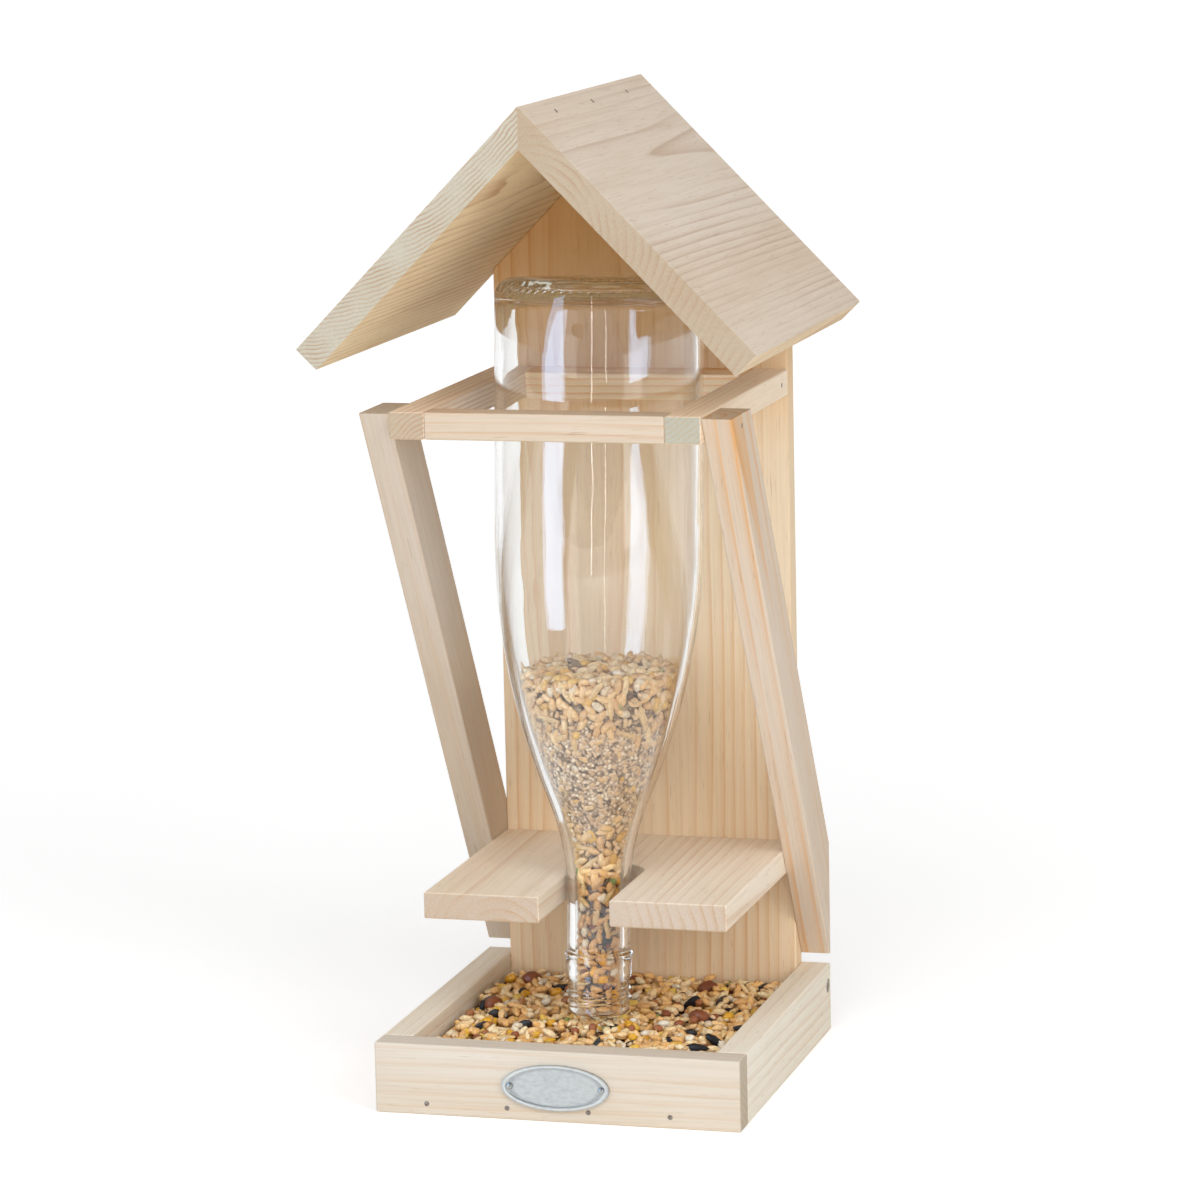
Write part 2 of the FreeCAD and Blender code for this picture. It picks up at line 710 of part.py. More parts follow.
bottle_outline = [(BORE_RADIUS, "0"), (LIP_RADIUS, "0")]
for turn in (0, 1):
    thread_start = f"(sizes.lip_height + ({turn}) * sizes.thread_pitch)"
    bottle_outline += ridge(
        thread_start, LIP_RADIUS, "sizes.thread_rise", "sizes.thread_height", THREAD_SLOPE
    )
bottle_outline += [
    (LIP_RADIUS, "sizes.collar_start - sizes.thread_rise"),
    (COLLAR_RADIUS, "sizes.collar_start"),
    (COLLAR_RADIUS, "sizes.bead_start"),
    (f"{COLLAR_RADIUS} + sizes.bead_rise", "sizes.bead_start + sizes.bead_height / 4"),
    (f"{COLLAR_RADIUS} + sizes.bead_rise", "sizes.bead_start + 3 * sizes.bead_height / 4"),
    (NECK_RADIUS, "sizes.bead_start + sizes.bead_height"),
]
bottle_outline += shoulder("0")
bottle_outline += [
    (BODY_RADIUS, "sizes.bottle_height - sizes.heel_radius", "sizes.heel_radius", True),
    (FOOT_OUTER, "sizes.bottle_height"),
    (FOOT_INNER, "sizes.bottle_height", PUNT_RADIUS, True),
    ("sizes.punt_flat", PUNT_TOP),
    ("0", PUNT_TOP),
    ("0", INNER_TOP),
    ("sizes.punt_flat", INNER_TOP, INNER_DOME, False),
    (INNER_DOME_EDGE, INNER_FLOOR),
    (f"{BODY_RADIUS} - sizes.bottle_wall", INNER_FLOOR),
]
bottle_outline += back_down(shoulder("sizes.bottle_wall"))

# The bottle's back lies against the front of the ring's rear bar, at the bar's top edge
AXIS_AT_RING = (
    f"({REAR_BAR_FRONT} - sizes.bottle_clearance - {BODY_RADIUS} / cos({LEAN}))"
)
MOUTH_ALONG = f"({AXIS_AT_RING} - ({RING_TOP} - sizes.mouth_height) * tan({LEAN}))"


def turned(name, corners):
    """A solid of revolution about the bottle's leaning axis, standing on its mouth."""
    body = new_body(name)
    sketch = sketch_on(body, "XZ_Plane", f"{name}_outline")
    draw_outline(sketch, corners)
    spin = body.newObject("PartDesign::Revolution", f"{name}_spin")
    spin.Profile = sketch
    spin.ReferenceAxis = (sketch, ["V_Axis"])
    spin.Angle = 360
    body.Placement = FreeCAD.Placement(
        FreeCAD.Vector(), FreeCAD.Rotation(FreeCAD.Vector(-1, 0, 0), number("sizes.bottle_lean"))
    )
    body.setExpression("Placement.Rotation.Angle", "sizes.bottle_lean")
    put(body, ("0", MOUTH_ALONG, "sizes.mouth_height"))
    return body


keep(turned("bottle_glass", bottle_outline), "bottle")

# Seed: a fill of the bottle up to a level top, and a bed in the tray heaped under the mouth

SEED_DEPTH = "(sizes.bottle_wall + sizes.seed_clearance)"
seed_fill = turned("seed_fill", [
    ("0", "sizes.seed_clearance"),
    (f"{BORE_RADIUS} - sizes.seed_clearance", "sizes.seed_clearance"),
    *shoulder(SEED_DEPTH),
    ("0", "sizes.shoulder_top"),
])
above_level = doc.addObject("Part::Box", "above_seed_level")
above_level.setExpression("Length", "2 * sizes.bottle_diameter")
above_level.setExpression("Width", "2 * sizes.bottle_diameter")
above_level.setExpression("Height", "sizes.bottle_height")
put(above_level, (
    "-sizes.bottle_diameter", f"{AXIS_AT_RING} - sizes.bottle_diameter", "sizes.seed_level"
))
seed_cut = doc.addObject("Part::Cut", "seed_levelled")
seed_cut.Base = seed_fill
seed_cut.Tool = above_level
keep(seed_cut, "seed_in_bottle")

BED_TOP = "(sizes.floor_thickness + sizes.seed_bed_depth)"
HEAP_TOP = f"(sizes.mouth_height - {LIP_RADIUS} * sin({LEAN}) - sizes.seed_clearance)"
HEAP_HEIGHT = f"({HEAP_TOP} - {BED_TOP})"
bed = doc.addObject("Part::Box", "seed_bed")
bed.setExpression("Length", f"2 * {HALF_CLEAR} - 2 * sizes.seed_clearance")
bed.setExpression("Width", f"{BOARD_FRONT} - {INNER_FRONT} - 2 * sizes.seed_clearance")
bed.setExpression("Height", "sizes.seed_bed_depth")
put(bed, (
    f"sizes.seed_clearance - {HALF_CLEAR}", f"{INNER_FRONT} + sizes.seed_clearance",
    "sizes.floor_thickness",
))
heap = doc.addObject("Part::Cone", "seed_heap")
heap.setExpression("Radius1", f"{LIP_RADIUS} + {HEAP_HEIGHT} / tan(sizes.seed_heap_slope * 1 deg)")
heap.setExpression("Radius2", LIP_RADIUS)
heap.setExpression("Height", HEAP_HEIGHT)
put(heap, ("0", MOUTH_ALONG, BED_TOP))
keep(join("seed_bed_and_heap", [bed, heap]), "seed_in_tray")

# Every object has to be sound before anything is written
doc.recompute()
for obj in doc.Objects:
    faults = [state for state in obj.State if state in ("Invalid", "Error")]
    if faults:
        raise RuntimeError(f"{obj.Name} ({obj.Label}) failed: {obj.State}")
for piece in pieces:
    if piece.Shape.isNull() or not piece.Shape.isValid():
        raise RuntimeError(f"{piece.Label} has no sound shape")
    if not piece.Shape.Solids:
        raise RuntimeError(f"{piece.Label} has no solid")

os.makedirs("parts", exist_ok=True)
for piece in pieces:
    piece.Shape.exportStep(f"parts/{piece.Label}.step")
    print(piece.Label, len(piece.Shape.Solids), round(piece.Shape.Volume, 1))
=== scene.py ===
import math
import random
from collections import namedtuple

import bmesh
import bpy
from mathutils import Euler, Matrix, Vector


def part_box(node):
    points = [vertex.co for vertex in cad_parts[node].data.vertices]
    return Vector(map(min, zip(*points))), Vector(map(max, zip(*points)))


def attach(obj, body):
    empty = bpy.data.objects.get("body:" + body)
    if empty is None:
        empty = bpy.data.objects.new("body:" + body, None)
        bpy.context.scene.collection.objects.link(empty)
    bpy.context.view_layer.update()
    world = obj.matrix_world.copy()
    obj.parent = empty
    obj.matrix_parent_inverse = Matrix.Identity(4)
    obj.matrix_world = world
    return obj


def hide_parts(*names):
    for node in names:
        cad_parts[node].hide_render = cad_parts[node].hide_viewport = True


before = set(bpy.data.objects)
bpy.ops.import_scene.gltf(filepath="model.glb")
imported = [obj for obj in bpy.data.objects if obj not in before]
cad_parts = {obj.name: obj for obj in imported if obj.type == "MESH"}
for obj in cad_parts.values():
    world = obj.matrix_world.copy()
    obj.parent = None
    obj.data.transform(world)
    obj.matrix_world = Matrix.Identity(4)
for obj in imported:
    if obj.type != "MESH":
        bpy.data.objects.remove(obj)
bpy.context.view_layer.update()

# The tray's floor panel: a thin sawn pine board that lies between the rails, level with their
# undersides. It is held by brads at its front and back, and the bed of seed covers it.

PALE_PINE = (0.79, 0.68, 0.55)
LATE_PINE = (0.60, 0.36, 0.17)
END_PINE = (0.80, 0.78, 0.73)
# Multiplied into pine above a given height: a painted warm shade under the roof
PAINTED_SHADE_PINE = (0.84, 0.63, 0.38)
# Multiplied into faces of pine that look down: a painted warm light
UNDERSIDE_PAINTED_LIGHT = (1.15, 1.06, 0.85)
ALONG_Y = (-90, 0, 0)
# The wave texture's rings stand this far apart at a scale of one
RING_UNIT = 0.314159


def add(tree, kind, inputs=(), **settings):
    """A new node, with the sockets that inputs names set or linked."""
    node = tree.nodes.new("ShaderNode" + kind)
    for setting, value in settings.items():
        setattr(node, setting, value)
    for socket, value in dict(inputs).items():
        if isinstance(value, bpy.types.NodeSocket):
            tree.links.new(value, node.inputs[socket])
        else:
            node.inputs[socket].default_value = value
    return node


def ramp(tree, source, *stops):
    """A colour for each value: stops are (value, colour) or (value, grey)."""
    node = add(tree, "ValToRGB", {"Fac": source})
    elements = node.color_ramp.elements
    elements.remove(elements[1])
    for count, (place, colour) in enumerate(stops):
        stop = elements[0] if count == 0 else elements.new(place)
        stop.position = place
        shades = colour if isinstance(colour, tuple) else (colour,) * 3
        stop.color = (*shades, 1)
    return node.outputs["Color"]


def blend(tree, share, first, second, way="MIX"):
    colours = [c if isinstance(c, bpy.types.NodeSocket) else (*c, 1) for c in (first, second)]
    node = add(
        tree, "Mix", {0: share, 6: colours[0], 7: colours[1]}, data_type="RGBA", blend_type=way
    )
    return node.outputs[2]


def noise(tree, vector, stretch, shift=0.0, detail=2.0):
    """Cloudy values, drawn out by a stretch along each axis."""
    drawn = add(tree, "Mapping", {
        "Vector": vector, "Location": (shift, 0.7 * shift, 1.3 * shift), "Scale": stretch
    })
    return add(tree, "TexNoise", {"Vector": drawn.outputs[0], "Scale": 1.0, "Detail": detail})


def new_material(name):
    made = bpy.data.materials.new(name)
    made.use_nodes = True
    return made.node_tree, made.node_tree.nodes["Principled BSDF"], made


def pine(name, heart, turn, ring=0.0036, line=0.7, sway=0.005, pale=PALE_PINE, late=LATE_PINE,
         end=END_PINE, painted_shade_heights=(1.0, 1.1)):
    """Sawn pine. heart is a point on the tree's heart line, turn lays that line along the grain,
    ring is a year's growth, line the strength of its late wood and sway how far it wanders. end
    tones the end grain. All above the heights in the last argument takes a painted warm shade,
    and faces that look down take a painted warm light."""
    tree, shader, made = new_material(name)
    shift = 7.0 * sum(heart) + len(name)
    turn = [math.radians(angle) for angle in turn]
    place = add(tree, "TexCoord")
    log = add(tree, "Mapping", {
        "Vector": place.outputs["Object"], "Location": heart, "Rotation": turn
    }, vector_type="TEXTURE").outputs[0]
    cloud = noise(tree, log, (17, 17, 2.8), shift)
    centred = add(tree, "VectorMath", {0: cloud.outputs["Color"], 1: (0.5, 0.5, 0.5)},
                  operation="SUBTRACT")
    wander = add(tree, "VectorMath", {0: centred.outputs[0], "Scale": sway * 2},
                 operation="SCALE")
    bent = add(tree, "VectorMath", {0: log, 1: wander.outputs[0]}, operation="ADD")
    growth = noise(tree, bent.outputs[0], (0.2 / ring, 0.2 / ring, 1.5), shift + 1, detail=1)
    lean_years = add(tree, "VectorMath", {0: growth.outputs["Color"], 1: (0.5, 0.5, 0.5)},
                     operation="SUBTRACT")
    uneven = add(tree, "VectorMath", {0: lean_years.outputs[0], "Scale": 1.2 * ring},
                 operation="SCALE")
    grown = add(tree, "VectorMath", {0: bent.outputs[0], 1: uneven.outputs[0]}, operation="ADD")
    years = add(tree, "TexWave", {
        "Vector": grown.outputs[0], "Scale": RING_UNIT / ring, "Distortion": 0.0
    }, wave_type="RINGS", rings_direction="Z", wave_profile="SAW")
    late_wood = ramp(tree, years.outputs["Fac"], (0.0, 0.5), (0.07, 0.02), (0.5, 0.10),
                     (0.8, 0.5), (0.93, 1.0))
    fading = noise(tree, log, (55, 55, 5), shift + 3)
    strength = ramp(tree, fading.outputs["Fac"], (0.34, 0.12 * line), (0.66, line))
    lines = add(tree, "Math", {0: late_wood, 1: strength}, operation="MULTIPLY")
    broad = noise(tree, log, (26, 26, 5), shift + 5, detail=3)
    warmth = ramp(tree, broad.outputs["Fac"], (0.3, 0.0), (0.7, 1.0))
    deep_pale = tuple(shade * share for shade, share in zip(pale, (0.92, 0.87, 0.80)))
    ground = blend(tree, warmth, pale, deep_pale)
    figured = blend(tree, lines.outputs[0], ground, late)
    fibre = noise(tree, log, (1100, 1100, 24), shift + 9, detail=3)
    fibre_tone = ramp(tree, fibre.outputs["Fac"], (0.30, (0.88, 0.84, 0.78)), (0.55, 1.0))
    fibrous = blend(tree, 0.5, figured, fibre_tone, "MULTIPLY")
    fleck = noise(tree, log, (1900, 1900, 95), shift + 11, detail=1)
    fleck_tone = ramp(tree, fleck.outputs["Fac"], (0.24, (0.62, 0.52, 0.42)), (0.33, 1.0))
    flecked = blend(tree, 0.5, fibrous, fleck_tone, "MULTIPLY")
    # Painted shade: above the given heights the wood takes a darker, warmer tone
    height = add(tree, "SeparateXYZ", {0: place.outputs["Object"]}).outputs["Z"]
    painted_shade_share = add(tree, "MapRange", {
        "Value": height, "From Min": painted_shade_heights[0], "From Max": painted_shade_heights[1]
    }).outputs[0]
    # Painted light: faces that look down take a brighter, warmer tone
    level = add(tree, "SeparateXYZ", {0: place.outputs["Normal"]}).outputs["Z"]
    painted_light_below = add(tree, "MapRange", {"Value": level, "From Min": -0.60, "From Max": -0.68})
    shaded = blend(tree, painted_shade_share, flecked, blend(tree, 1.0, flecked, PAINTED_SHADE_PINE, "MULTIPLY"))
    flecked = blend(tree, painted_light_below.outputs[0], shaded,
                    blend(tree, 1.0, flecked, UNDERSIDE_PAINTED_LIGHT, "MULTIPLY"))
    grain = Euler(turn).to_matrix() @ Vector((0, 0, 1))
    facing = add(tree, "VectorMath", {0: place.outputs["Normal"], 1: grain},
                 operation="DOT_PRODUCT")
    square = add(tree, "Math", {0: facing.outputs["Value"]}, operation="ABSOLUTE")
    cut_end = ramp(tree, square.outputs[0], (0.6, 0.0), (0.9, 1.0))
    end_grain = blend(tree, lines.outputs[0], end, (0.74, 0.66, 0.56))
    coloured = blend(tree, cut_end, flecked, blend(tree, 1.0, flecked, end_grain, "MULTIPLY"))
    tree.links.new(coloured, shader.inputs["Base Color"])
    dull = ramp(tree, fibre.outputs["Fac"], (0.3, 0.82), (0.7, 0.66))
    tree.links.new(dull, shader.inputs["Roughness"])
    shader.inputs["Specular IOR Level"].default_value = 0.3
    relief = add(tree, "Math", {0: fibre.outputs["Fac"], 1: lines.outputs[0]}, operation="ADD")
    bump = add(tree, "Bump", {"Height": relief.outputs[0], "Strength": 0.30, "Distance": 0.0003})
    tree.links.new(bump.outputs[0], shader.inputs["Normal"])
    return made


def finish(node, material):
    """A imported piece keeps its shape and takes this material."""
    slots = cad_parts[node].data.materials
    slots.clear()
    slots.append(material)


finish("tray_floor", pine("floor_pine", (0.03, 0, -0.05), ALONG_Y, line=0.6))

# The tray's rails: a front rail over the whole width with two side rails butted behind it, all
# planed pine with eased edges. Brads through the front rail's foot hold the floor panel.

PALE_RAIL = (0.70, 0.645, 0.57)
PALE_SIDE_RAIL = (0.88, 0.83, 0.73)
finish("tray_front_rail", pine(
    "front_rail_pine", (0, -0.030, 0.052), (0, 88.8, 0), ring=0.0034, line=0.30, pale=PALE_RAIL
))
finish("tray_left_rail", pine(
    "left_rail_pine", (-0.11, 0, 0.05), ALONG_Y, ring=0.0032, line=0.4, pale=PALE_SIDE_RAIL
))
finish("tray_right_rail", pine(
    "right_rail_pine", (0.035, 0, 0.062), (-90, 1.0, 0), ring=0.0040, line=0.32,
    pale=PALE_SIDE_RAIL
))

# The back board: one tall pine plank with a gabled top. Its foot stands between the side rails,
# which are screwed to its edges, and it carries the ring, the shelf and the roof.

# From 0.24 m up, and fully above 0.33 m, the board takes a painted shade under the roof
finish("back_board", pine(
    "board_pine", (-0.022, 0.104, 0.2), (0.5, 0.35, 0), ring=0.0046, line=0.58, sway=0.008,
    pale=(0.87, 0.71, 0.51), late=(0.70, 0.37, 0.13), painted_shade_heights=(0.24, 0.33)
))

# The neck shelf: a pine board screwed on from behind the back board, with a round-ended slot
# sawn in from its front edge. The grain runs front to back, and its front edge is end grain.

finish("neck_shelf", pine(
    "shelf_pine", (-0.030, 0, 0.060), (-90, 0.5, 0.8), ring=0.0042, line=0.52, sway=0.003,
    pale=(0.90, 0.80, 0.67), late=(0.66, 0.42, 0.25), end=(0.66, 0.62, 0.61)
))

# The ring: two side rails that run from the back board to the front, with a cross bar nailed
# between them before and behind the bottle. All are narrow planed pine bars.

PALE_RING = (0.90, 0.79, 0.66)
finish("ring_left_rail", pine(
    "ring_left_pine", (-0.036, 0, 0.247), ALONG_Y, ring=0.0017, line=0.9, sway=0.002,
    pale=PALE_RING, late=(0.54, 0.26, 0.15), end=(0.55, 0.54, 0.49)
))
finish("ring_right_rail", pine(
    "ring_right_pine", (0.026, 0, 0.305), ALONG_Y, ring=0.0019, line=0.5, sway=0.002,
    pale=(0.97, 0.85, 0.71), end=(0.48, 0.57, 0.61)
))
finish("ring_front_bar", pine(
    "ring_front_pine", (0, -0.064, 0.244), (0, 89.0, 1.2), ring=0.0040, line=0.8, sway=0.006,
    pale=(0.63, 0.54, 0.44), late=(0.57, 0.35, 0.20)
))
finish("ring_rear_bar", pine(
    "ring_rear_pine", (0, 0.050, 0.200), (0, 89.2, 0), ring=0.0030, line=1.0, sway=0.004,
    pale=(0.98, 0.80, 0.58), late=(0.80, 0.40, 0.14)
))

# The struts: two slanted pine planks on the outside, from the ring's front down to the foot of
# the back board. They are glued on, with a nail near the top into the ring's side rail.

STRUT_TURN = 31.9
finish("left_strut", pine(
    "left_strut_pine", (-0.022, 0.034, 0.152), (STRUT_TURN, 0, 0), ring=0.0045, line=0.25,
    pale=(0.65, 0.565, 0.475)
))
finish("right_strut", pine(
    "right_strut_pine", (0.058, 0.010, 0.152), (STRUT_TURN, 0.3, 0), ring=0.0052, line=0.85,
    sway=0.003, pale=(0.71, 0.60, 0.49), late=(0.72, 0.36, 0.11)
))

# The roof: two pine planks mitred at the ridge and nailed together there, and glued down onto
# the gable. The grain runs from front to back, so their front edges show end grain.

finish("roof_left_plank", pine(
    "roof_left_pine", (-0.105, 0, 0.470), (-90, 0, 1.2), ring=0.0016, line=0.85, sway=0.003,
    pale=(0.77, 0.69, 0.57), late=(0.46, 0.28, 0.17), end=(0.66, 0.70, 0.71)
))
finish("roof_right_plank", pine(
    "roof_right_pine", (0.004, 0, 0.345), (-90, 0.6, -1.0), ring=0.0030, line=0.58, sway=0.003,
    pale=(0.73, 0.63, 0.53), late=(0.47, 0.31, 0.20), end=(0.62, 0.585, 0.515)
))

# The brads and nails: thin steel pins with small flat heads, driven flush with the wood and
# dulled by it. The screws are countersunk steel with a recess in the head.


def steel(name, bright, dark, rough):
    """Plain steel, browned in patches."""
    tree, shader, made = new_material(name)
    place = add(tree, "TexCoord").outputs["Object"]
    patches = noise(tree, place, (900, 900, 900), len(name), detail=4)
    colour = ramp(tree, patches.outputs["Fac"], (0.35, dark), (0.65, bright))
    tree.links.new(colour, shader.inputs["Base Color"])
    roughness = ramp(tree, patches.outputs["Fac"], (0.3, rough + 0.2), (0.7, rough))
    tree.links.new(roughness, shader.inputs["Roughness"])
    shader.inputs["Metallic"].default_value = 0.85
    return made


brad_steel = steel("brad_steel", (0.34, 0.29, 0.25), (0.17, 0.13, 0.10), 0.45)
screw_steel = steel("screw_steel", (0.48, 0.44, 0.36), (0.22, 0.17, 0.12), 0.35)
for brads in ("tray_front_brads", "tray_rear_brads", "ring_corner_nails", "strut_nails",
              "roof_ridge_brads"):
    finish(brads, brad_steel)
for screws in ("tray_rear_screws", "ring_screws", "shelf_screws"):
    finish(screws, screw_steel)

# The name plate: a bare oval of soft cast metal with a raised rim, pinned to the front rail by
# two round-headed pins of the same metal.

plate_low, plate_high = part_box("name_plate")
plate_middle = (plate_low + plate_high) / 2
plate_half = (plate_high - plate_low) / 2
plate_tree, plate_shader, plate_metal = new_material("plate_metal")
plate_place = add(plate_tree, "TexCoord").outputs["Object"]
casting = noise(plate_tree, plate_place, (420, 420, 900), 2.0, detail=5)
oval = add(plate_tree, "Mapping", {
    "Vector": plate_place, "Location": plate_middle,
    "Scale": (plate_half.x, 1000.0, plate_half.z),
}, vector_type="TEXTURE")
outward = add(plate_tree, "VectorMath", {0: oval.outputs[0]}, operation="LENGTH")
# Tones in rings towards the plate's edge: darker, then lighter on the rim, then darker again
rim_tone_rings = ramp(plate_tree, outward.outputs["Value"], (0.76, (0.56, 0.58, 0.565)),
            (0.84, (0.43, 0.44, 0.43)), (0.88, (0.44, 0.45, 0.44)), (0.93, (0.72, 0.74, 0.72)),
            (1.0, (0.47, 0.48, 0.47)))
cast_tone = ramp(plate_tree, casting.outputs["Fac"], (0.3, 0.86), (0.6, 1.0))
plate_colour = blend(plate_tree, 1.0, rim_tone_rings, cast_tone, "MULTIPLY")
plate_tree.links.new(plate_colour, plate_shader.inputs["Base Color"])
plate_rough = ramp(plate_tree, casting.outputs["Fac"], (0.3, 0.46), (0.7, 0.30))
plate_tree.links.new(plate_rough, plate_shader.inputs["Roughness"])
plate_shader.inputs["Metallic"].default_value = 0.9
plate_bump = add(plate_tree, "Bump", {
    "Height": casting.outputs["Fac"], "Strength": 0.35, "Distance": 0.0004
})
plate_tree.links.new(plate_bump.outputs[0], plate_shader.inputs["Normal"])
finish("name_plate", plate_metal)
finish("name_plate_pins", plate_metal)

# The bottle: a clear blown wine bottle with a screw-thread mouth, a long shoulder and a domed
# base with a ribbed foot. It stands on its mouth and leans back on the ring's rear bar.

MOUTH_HEIGHT = 0.0275
LEAN = math.radians(4.7)
BOTTLE_GAP = 0.0003
BOTTLE_HEIGHT = 0.290
BODY_RADIUS = 0.041
NECK_RADIUS = 0.0125
WALL = 0.003
NECK_TOP = 0.047
SHOULDER_TOP = 0.189
NECK_CURVE = 0.100
HEEL_RADIUS = 0.007
FOOT_WIDTH = 0.005
PUNT_DEPTH = 0.004
BASE_WALL = 0.003
LIP_RADIUS = 0.0121
THREAD_START = 0.0044
THREAD_PITCH = 0.0036
THREAD_RISE = 0.0008
THREAD_HALF_WIDTH = 0.0010
THREAD_TURNS = 1.75
THREAD_FADE = 0.12
THREAD_FOOT = 0.003
THREAD_TOP = 0.0136
THREAD_INSIDE = 0.0115
BODY_START = 0.195
BODY_END = 0.272
INNER_BODY_END = 0.278
INNER_START = 0.003
LIP_TOP = 0.0010
COLLAR_TOP = 0.027
INNER_HEEL = 0.285
AXIS_GAP = 0.003
FOOT_RIBS = 56
RIB_DEPTH = 0.0005
RIB_BAND = 0.0008
RIB_OVERRUN = 0.0015
TURNING_STEPS = 5 * FOOT_RIBS
# Turned details, as points of (radius, distance up from the mouth)
COLLAR = [
    (0.0125, 0.0252), (0.0127, 0.0246), (0.0133, 0.0242), (0.0135, 0.0238), (0.0135, 0.0232),
    (0.0133, 0.0228), (0.0130, 0.0224), (0.0130, 0.0190), (0.0130, 0.0152), (0.0129, 0.0146),
    (0.0124, 0.0140),
]
LIP = [(0.0119, 0.0004), (0.0115, 0.0), (0.0105, 0.0), (0.0099, 0.0002), (0.0095, 0.0007)]
INNER_CORNER = [(0.0377, 0.2803), (0.0368, 0.2827), (0.0352, 0.2843), (0.0328, INNER_HEEL)]

rear_bar_low, rear_bar_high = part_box("ring_rear_bar")
mouth_along = (
    rear_bar_low.y - BOTTLE_GAP - BODY_RADIUS / math.cos(LEAN)
    - (rear_bar_high.z - MOUTH_HEIGHT) * math.tan(LEAN)
)
bottle_place = (
    Matrix.Translation((0, mouth_along, MOUTH_HEIGHT)) @ Matrix.Rotation(-LEAN, 4, "X")
)
shoulder_angle = 2 * math.atan((BODY_RADIUS - NECK_RADIUS) / (SHOULDER_TOP - NECK_TOP))
body_curve = (SHOULDER_TOP - NECK_TOP) / math.sin(shoulder_angle) - NECK_CURVE
foot_outer = BODY_RADIUS - HEEL_RADIUS
foot_inner = foot_outer - FOOT_WIDTH
punt_radius = (foot_inner ** 2 / PUNT_DEPTH + PUNT_DEPTH) / 2
punt_centre = BOTTLE_HEIGHT - PUNT_DEPTH + punt_radius


def wall_radius(up, depth):
    """Radius of the neck, shoulder or body, a depth inside the outer face."""
    turn_up = NECK_TOP + (NECK_CURVE + depth) * math.sin(shoulder_angle)
    if up <= NECK_TOP:
        return NECK_RADIUS - depth
    if up <= turn_up:
        reach = math.sqrt((NECK_CURVE + depth) ** 2 - (up - NECK_TOP) ** 2)
        return NECK_RADIUS + NECK_CURVE - reach
    if up <= SHOULDER_TOP:
        reach = math.sqrt((body_curve - depth) ** 2 - (SHOULDER_TOP - up) ** 2)
        return BODY_RADIUS - body_curve + reach
    return BODY_RADIUS - depth


def steps(first, last, count):
    return [first + (last - first) * step / count for step in range(count + 1)]


outline = [(0.0, BOTTLE_HEIGHT - PUNT_DEPTH)]
for reach in steps(AXIS_GAP, foot_inner, 14):
    outline.append((reach, punt_centre - math.sqrt(punt_radius ** 2 - reach ** 2)))
outline += [(reach, BOTTLE_HEIGHT) for reach in steps(foot_inner + 0.001, foot_outer, 4)]
for angle in steps(10, 90, 8):
    heel_turn = math.radians(angle)
    outline.append((
        foot_outer + HEEL_RADIUS * math.sin(heel_turn),
        BOTTLE_HEIGHT - HEEL_RADIUS + HEEL_RADIUS * math.cos(heel_turn),
    ))
outline += [(BODY_RADIUS, up) for up in steps(BODY_END, BODY_START, 7)]
outline += [(wall_radius(up, 0), up) for up in steps(SHOULDER_TOP, COLLAR_TOP, 60)]
outline += COLLAR
outline += [(LIP_RADIUS, up) for up in steps(THREAD_TOP, LIP_TOP, 36)]
outline += LIP
outline += [(wall_radius(up, WALL), up) for up in steps(INNER_START, SHOULDER_TOP, 64)]
outline += [(BODY_RADIUS - WALL, up) for up in steps(BODY_START, INNER_BODY_END, 7)]
outline += INNER_CORNER
inner_dome = punt_radius + BASE_WALL
dome_edge = math.sqrt(inner_dome ** 2 - (punt_centre - INNER_HEEL) ** 2)
for reach in steps(dome_edge, AXIS_GAP, 14):
    outline.append((reach, punt_centre - math.sqrt(inner_dome ** 2 - reach ** 2)))
outline.append((0.0, punt_centre - inner_dome))


def turned(points, turning_steps):
    """A shape of revolution about Z, from its outline of (radius, height)."""
    shape = bmesh.new()
    corners = [shape.verts.new((reach, 0, up)) for reach, up in points]
    for first, second in zip(corners, corners[1:]):
        shape.edges.new((first, second))
    bmesh.ops.spin(
        shape, geom=shape.verts[:] + shape.edges[:], cent=(0, 0, 0), axis=(0, 0, 1),
        dvec=(0, 0, 0), angle=2 * math.pi, steps=turning_steps, use_merge=True,
    )
    bmesh.ops.remove_doubles(shape, verts=shape.verts[:], dist=1e-6)
    bmesh.ops.recalc_face_normals(shape, faces=shape.faces[:])
    return shape


def piece(name, shape, material, body):
    """A finished piece that moves with a body of the frame."""
    for face in shape.faces:
        face.smooth = True
    mesh = bpy.data.meshes.new(name)
    shape.to_mesh(mesh)
    shape.free()
    mesh.materials.append(material)
    made = bpy.data.objects.new(name, mesh)
    bpy.context.scene.collection.objects.link(made)
    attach(made, body)
    return made


def eased(value):
    value = min(max(value, 0.0), 1.0)
    return value * value * (3 - 2 * value)


bottle_shape = turned(outline, TURNING_STEPS)
for vert in bottle_shape.verts:
    reach = math.hypot(vert.co.x, vert.co.y)
    share = math.atan2(vert.co.y, vert.co.x) / (2 * math.pi) + 0.5
    if THREAD_FOOT < vert.co.z < THREAD_TOP and reach > THREAD_INSIDE:
        rise = 0.0
        for lap in (0, 1):
            turns = share + lap
            offset = (vert.co.z - THREAD_START - THREAD_PITCH * turns) / THREAD_HALF_WIDTH
            ends = eased(turns / THREAD_FADE) * eased((THREAD_TURNS - turns) / THREAD_FADE)
            rise = max(rise, THREAD_RISE * ends * max(0.0, 1 - offset * offset))
        vert.co.x *= (reach + rise) / reach
        vert.co.y *= (reach + rise) / reach
    on_foot = foot_inner < reach < foot_outer + RIB_OVERRUN
    if on_foot and vert.co.z > BOTTLE_HEIGHT - RIB_BAND:
        vert.co.z -= RIB_DEPTH * (0.5 - 0.5 * math.cos(2 * math.pi * FOOT_RIBS * share))
bmesh.ops.transform(bottle_shape, matrix=bottle_place, verts=bottle_shape.verts[:])

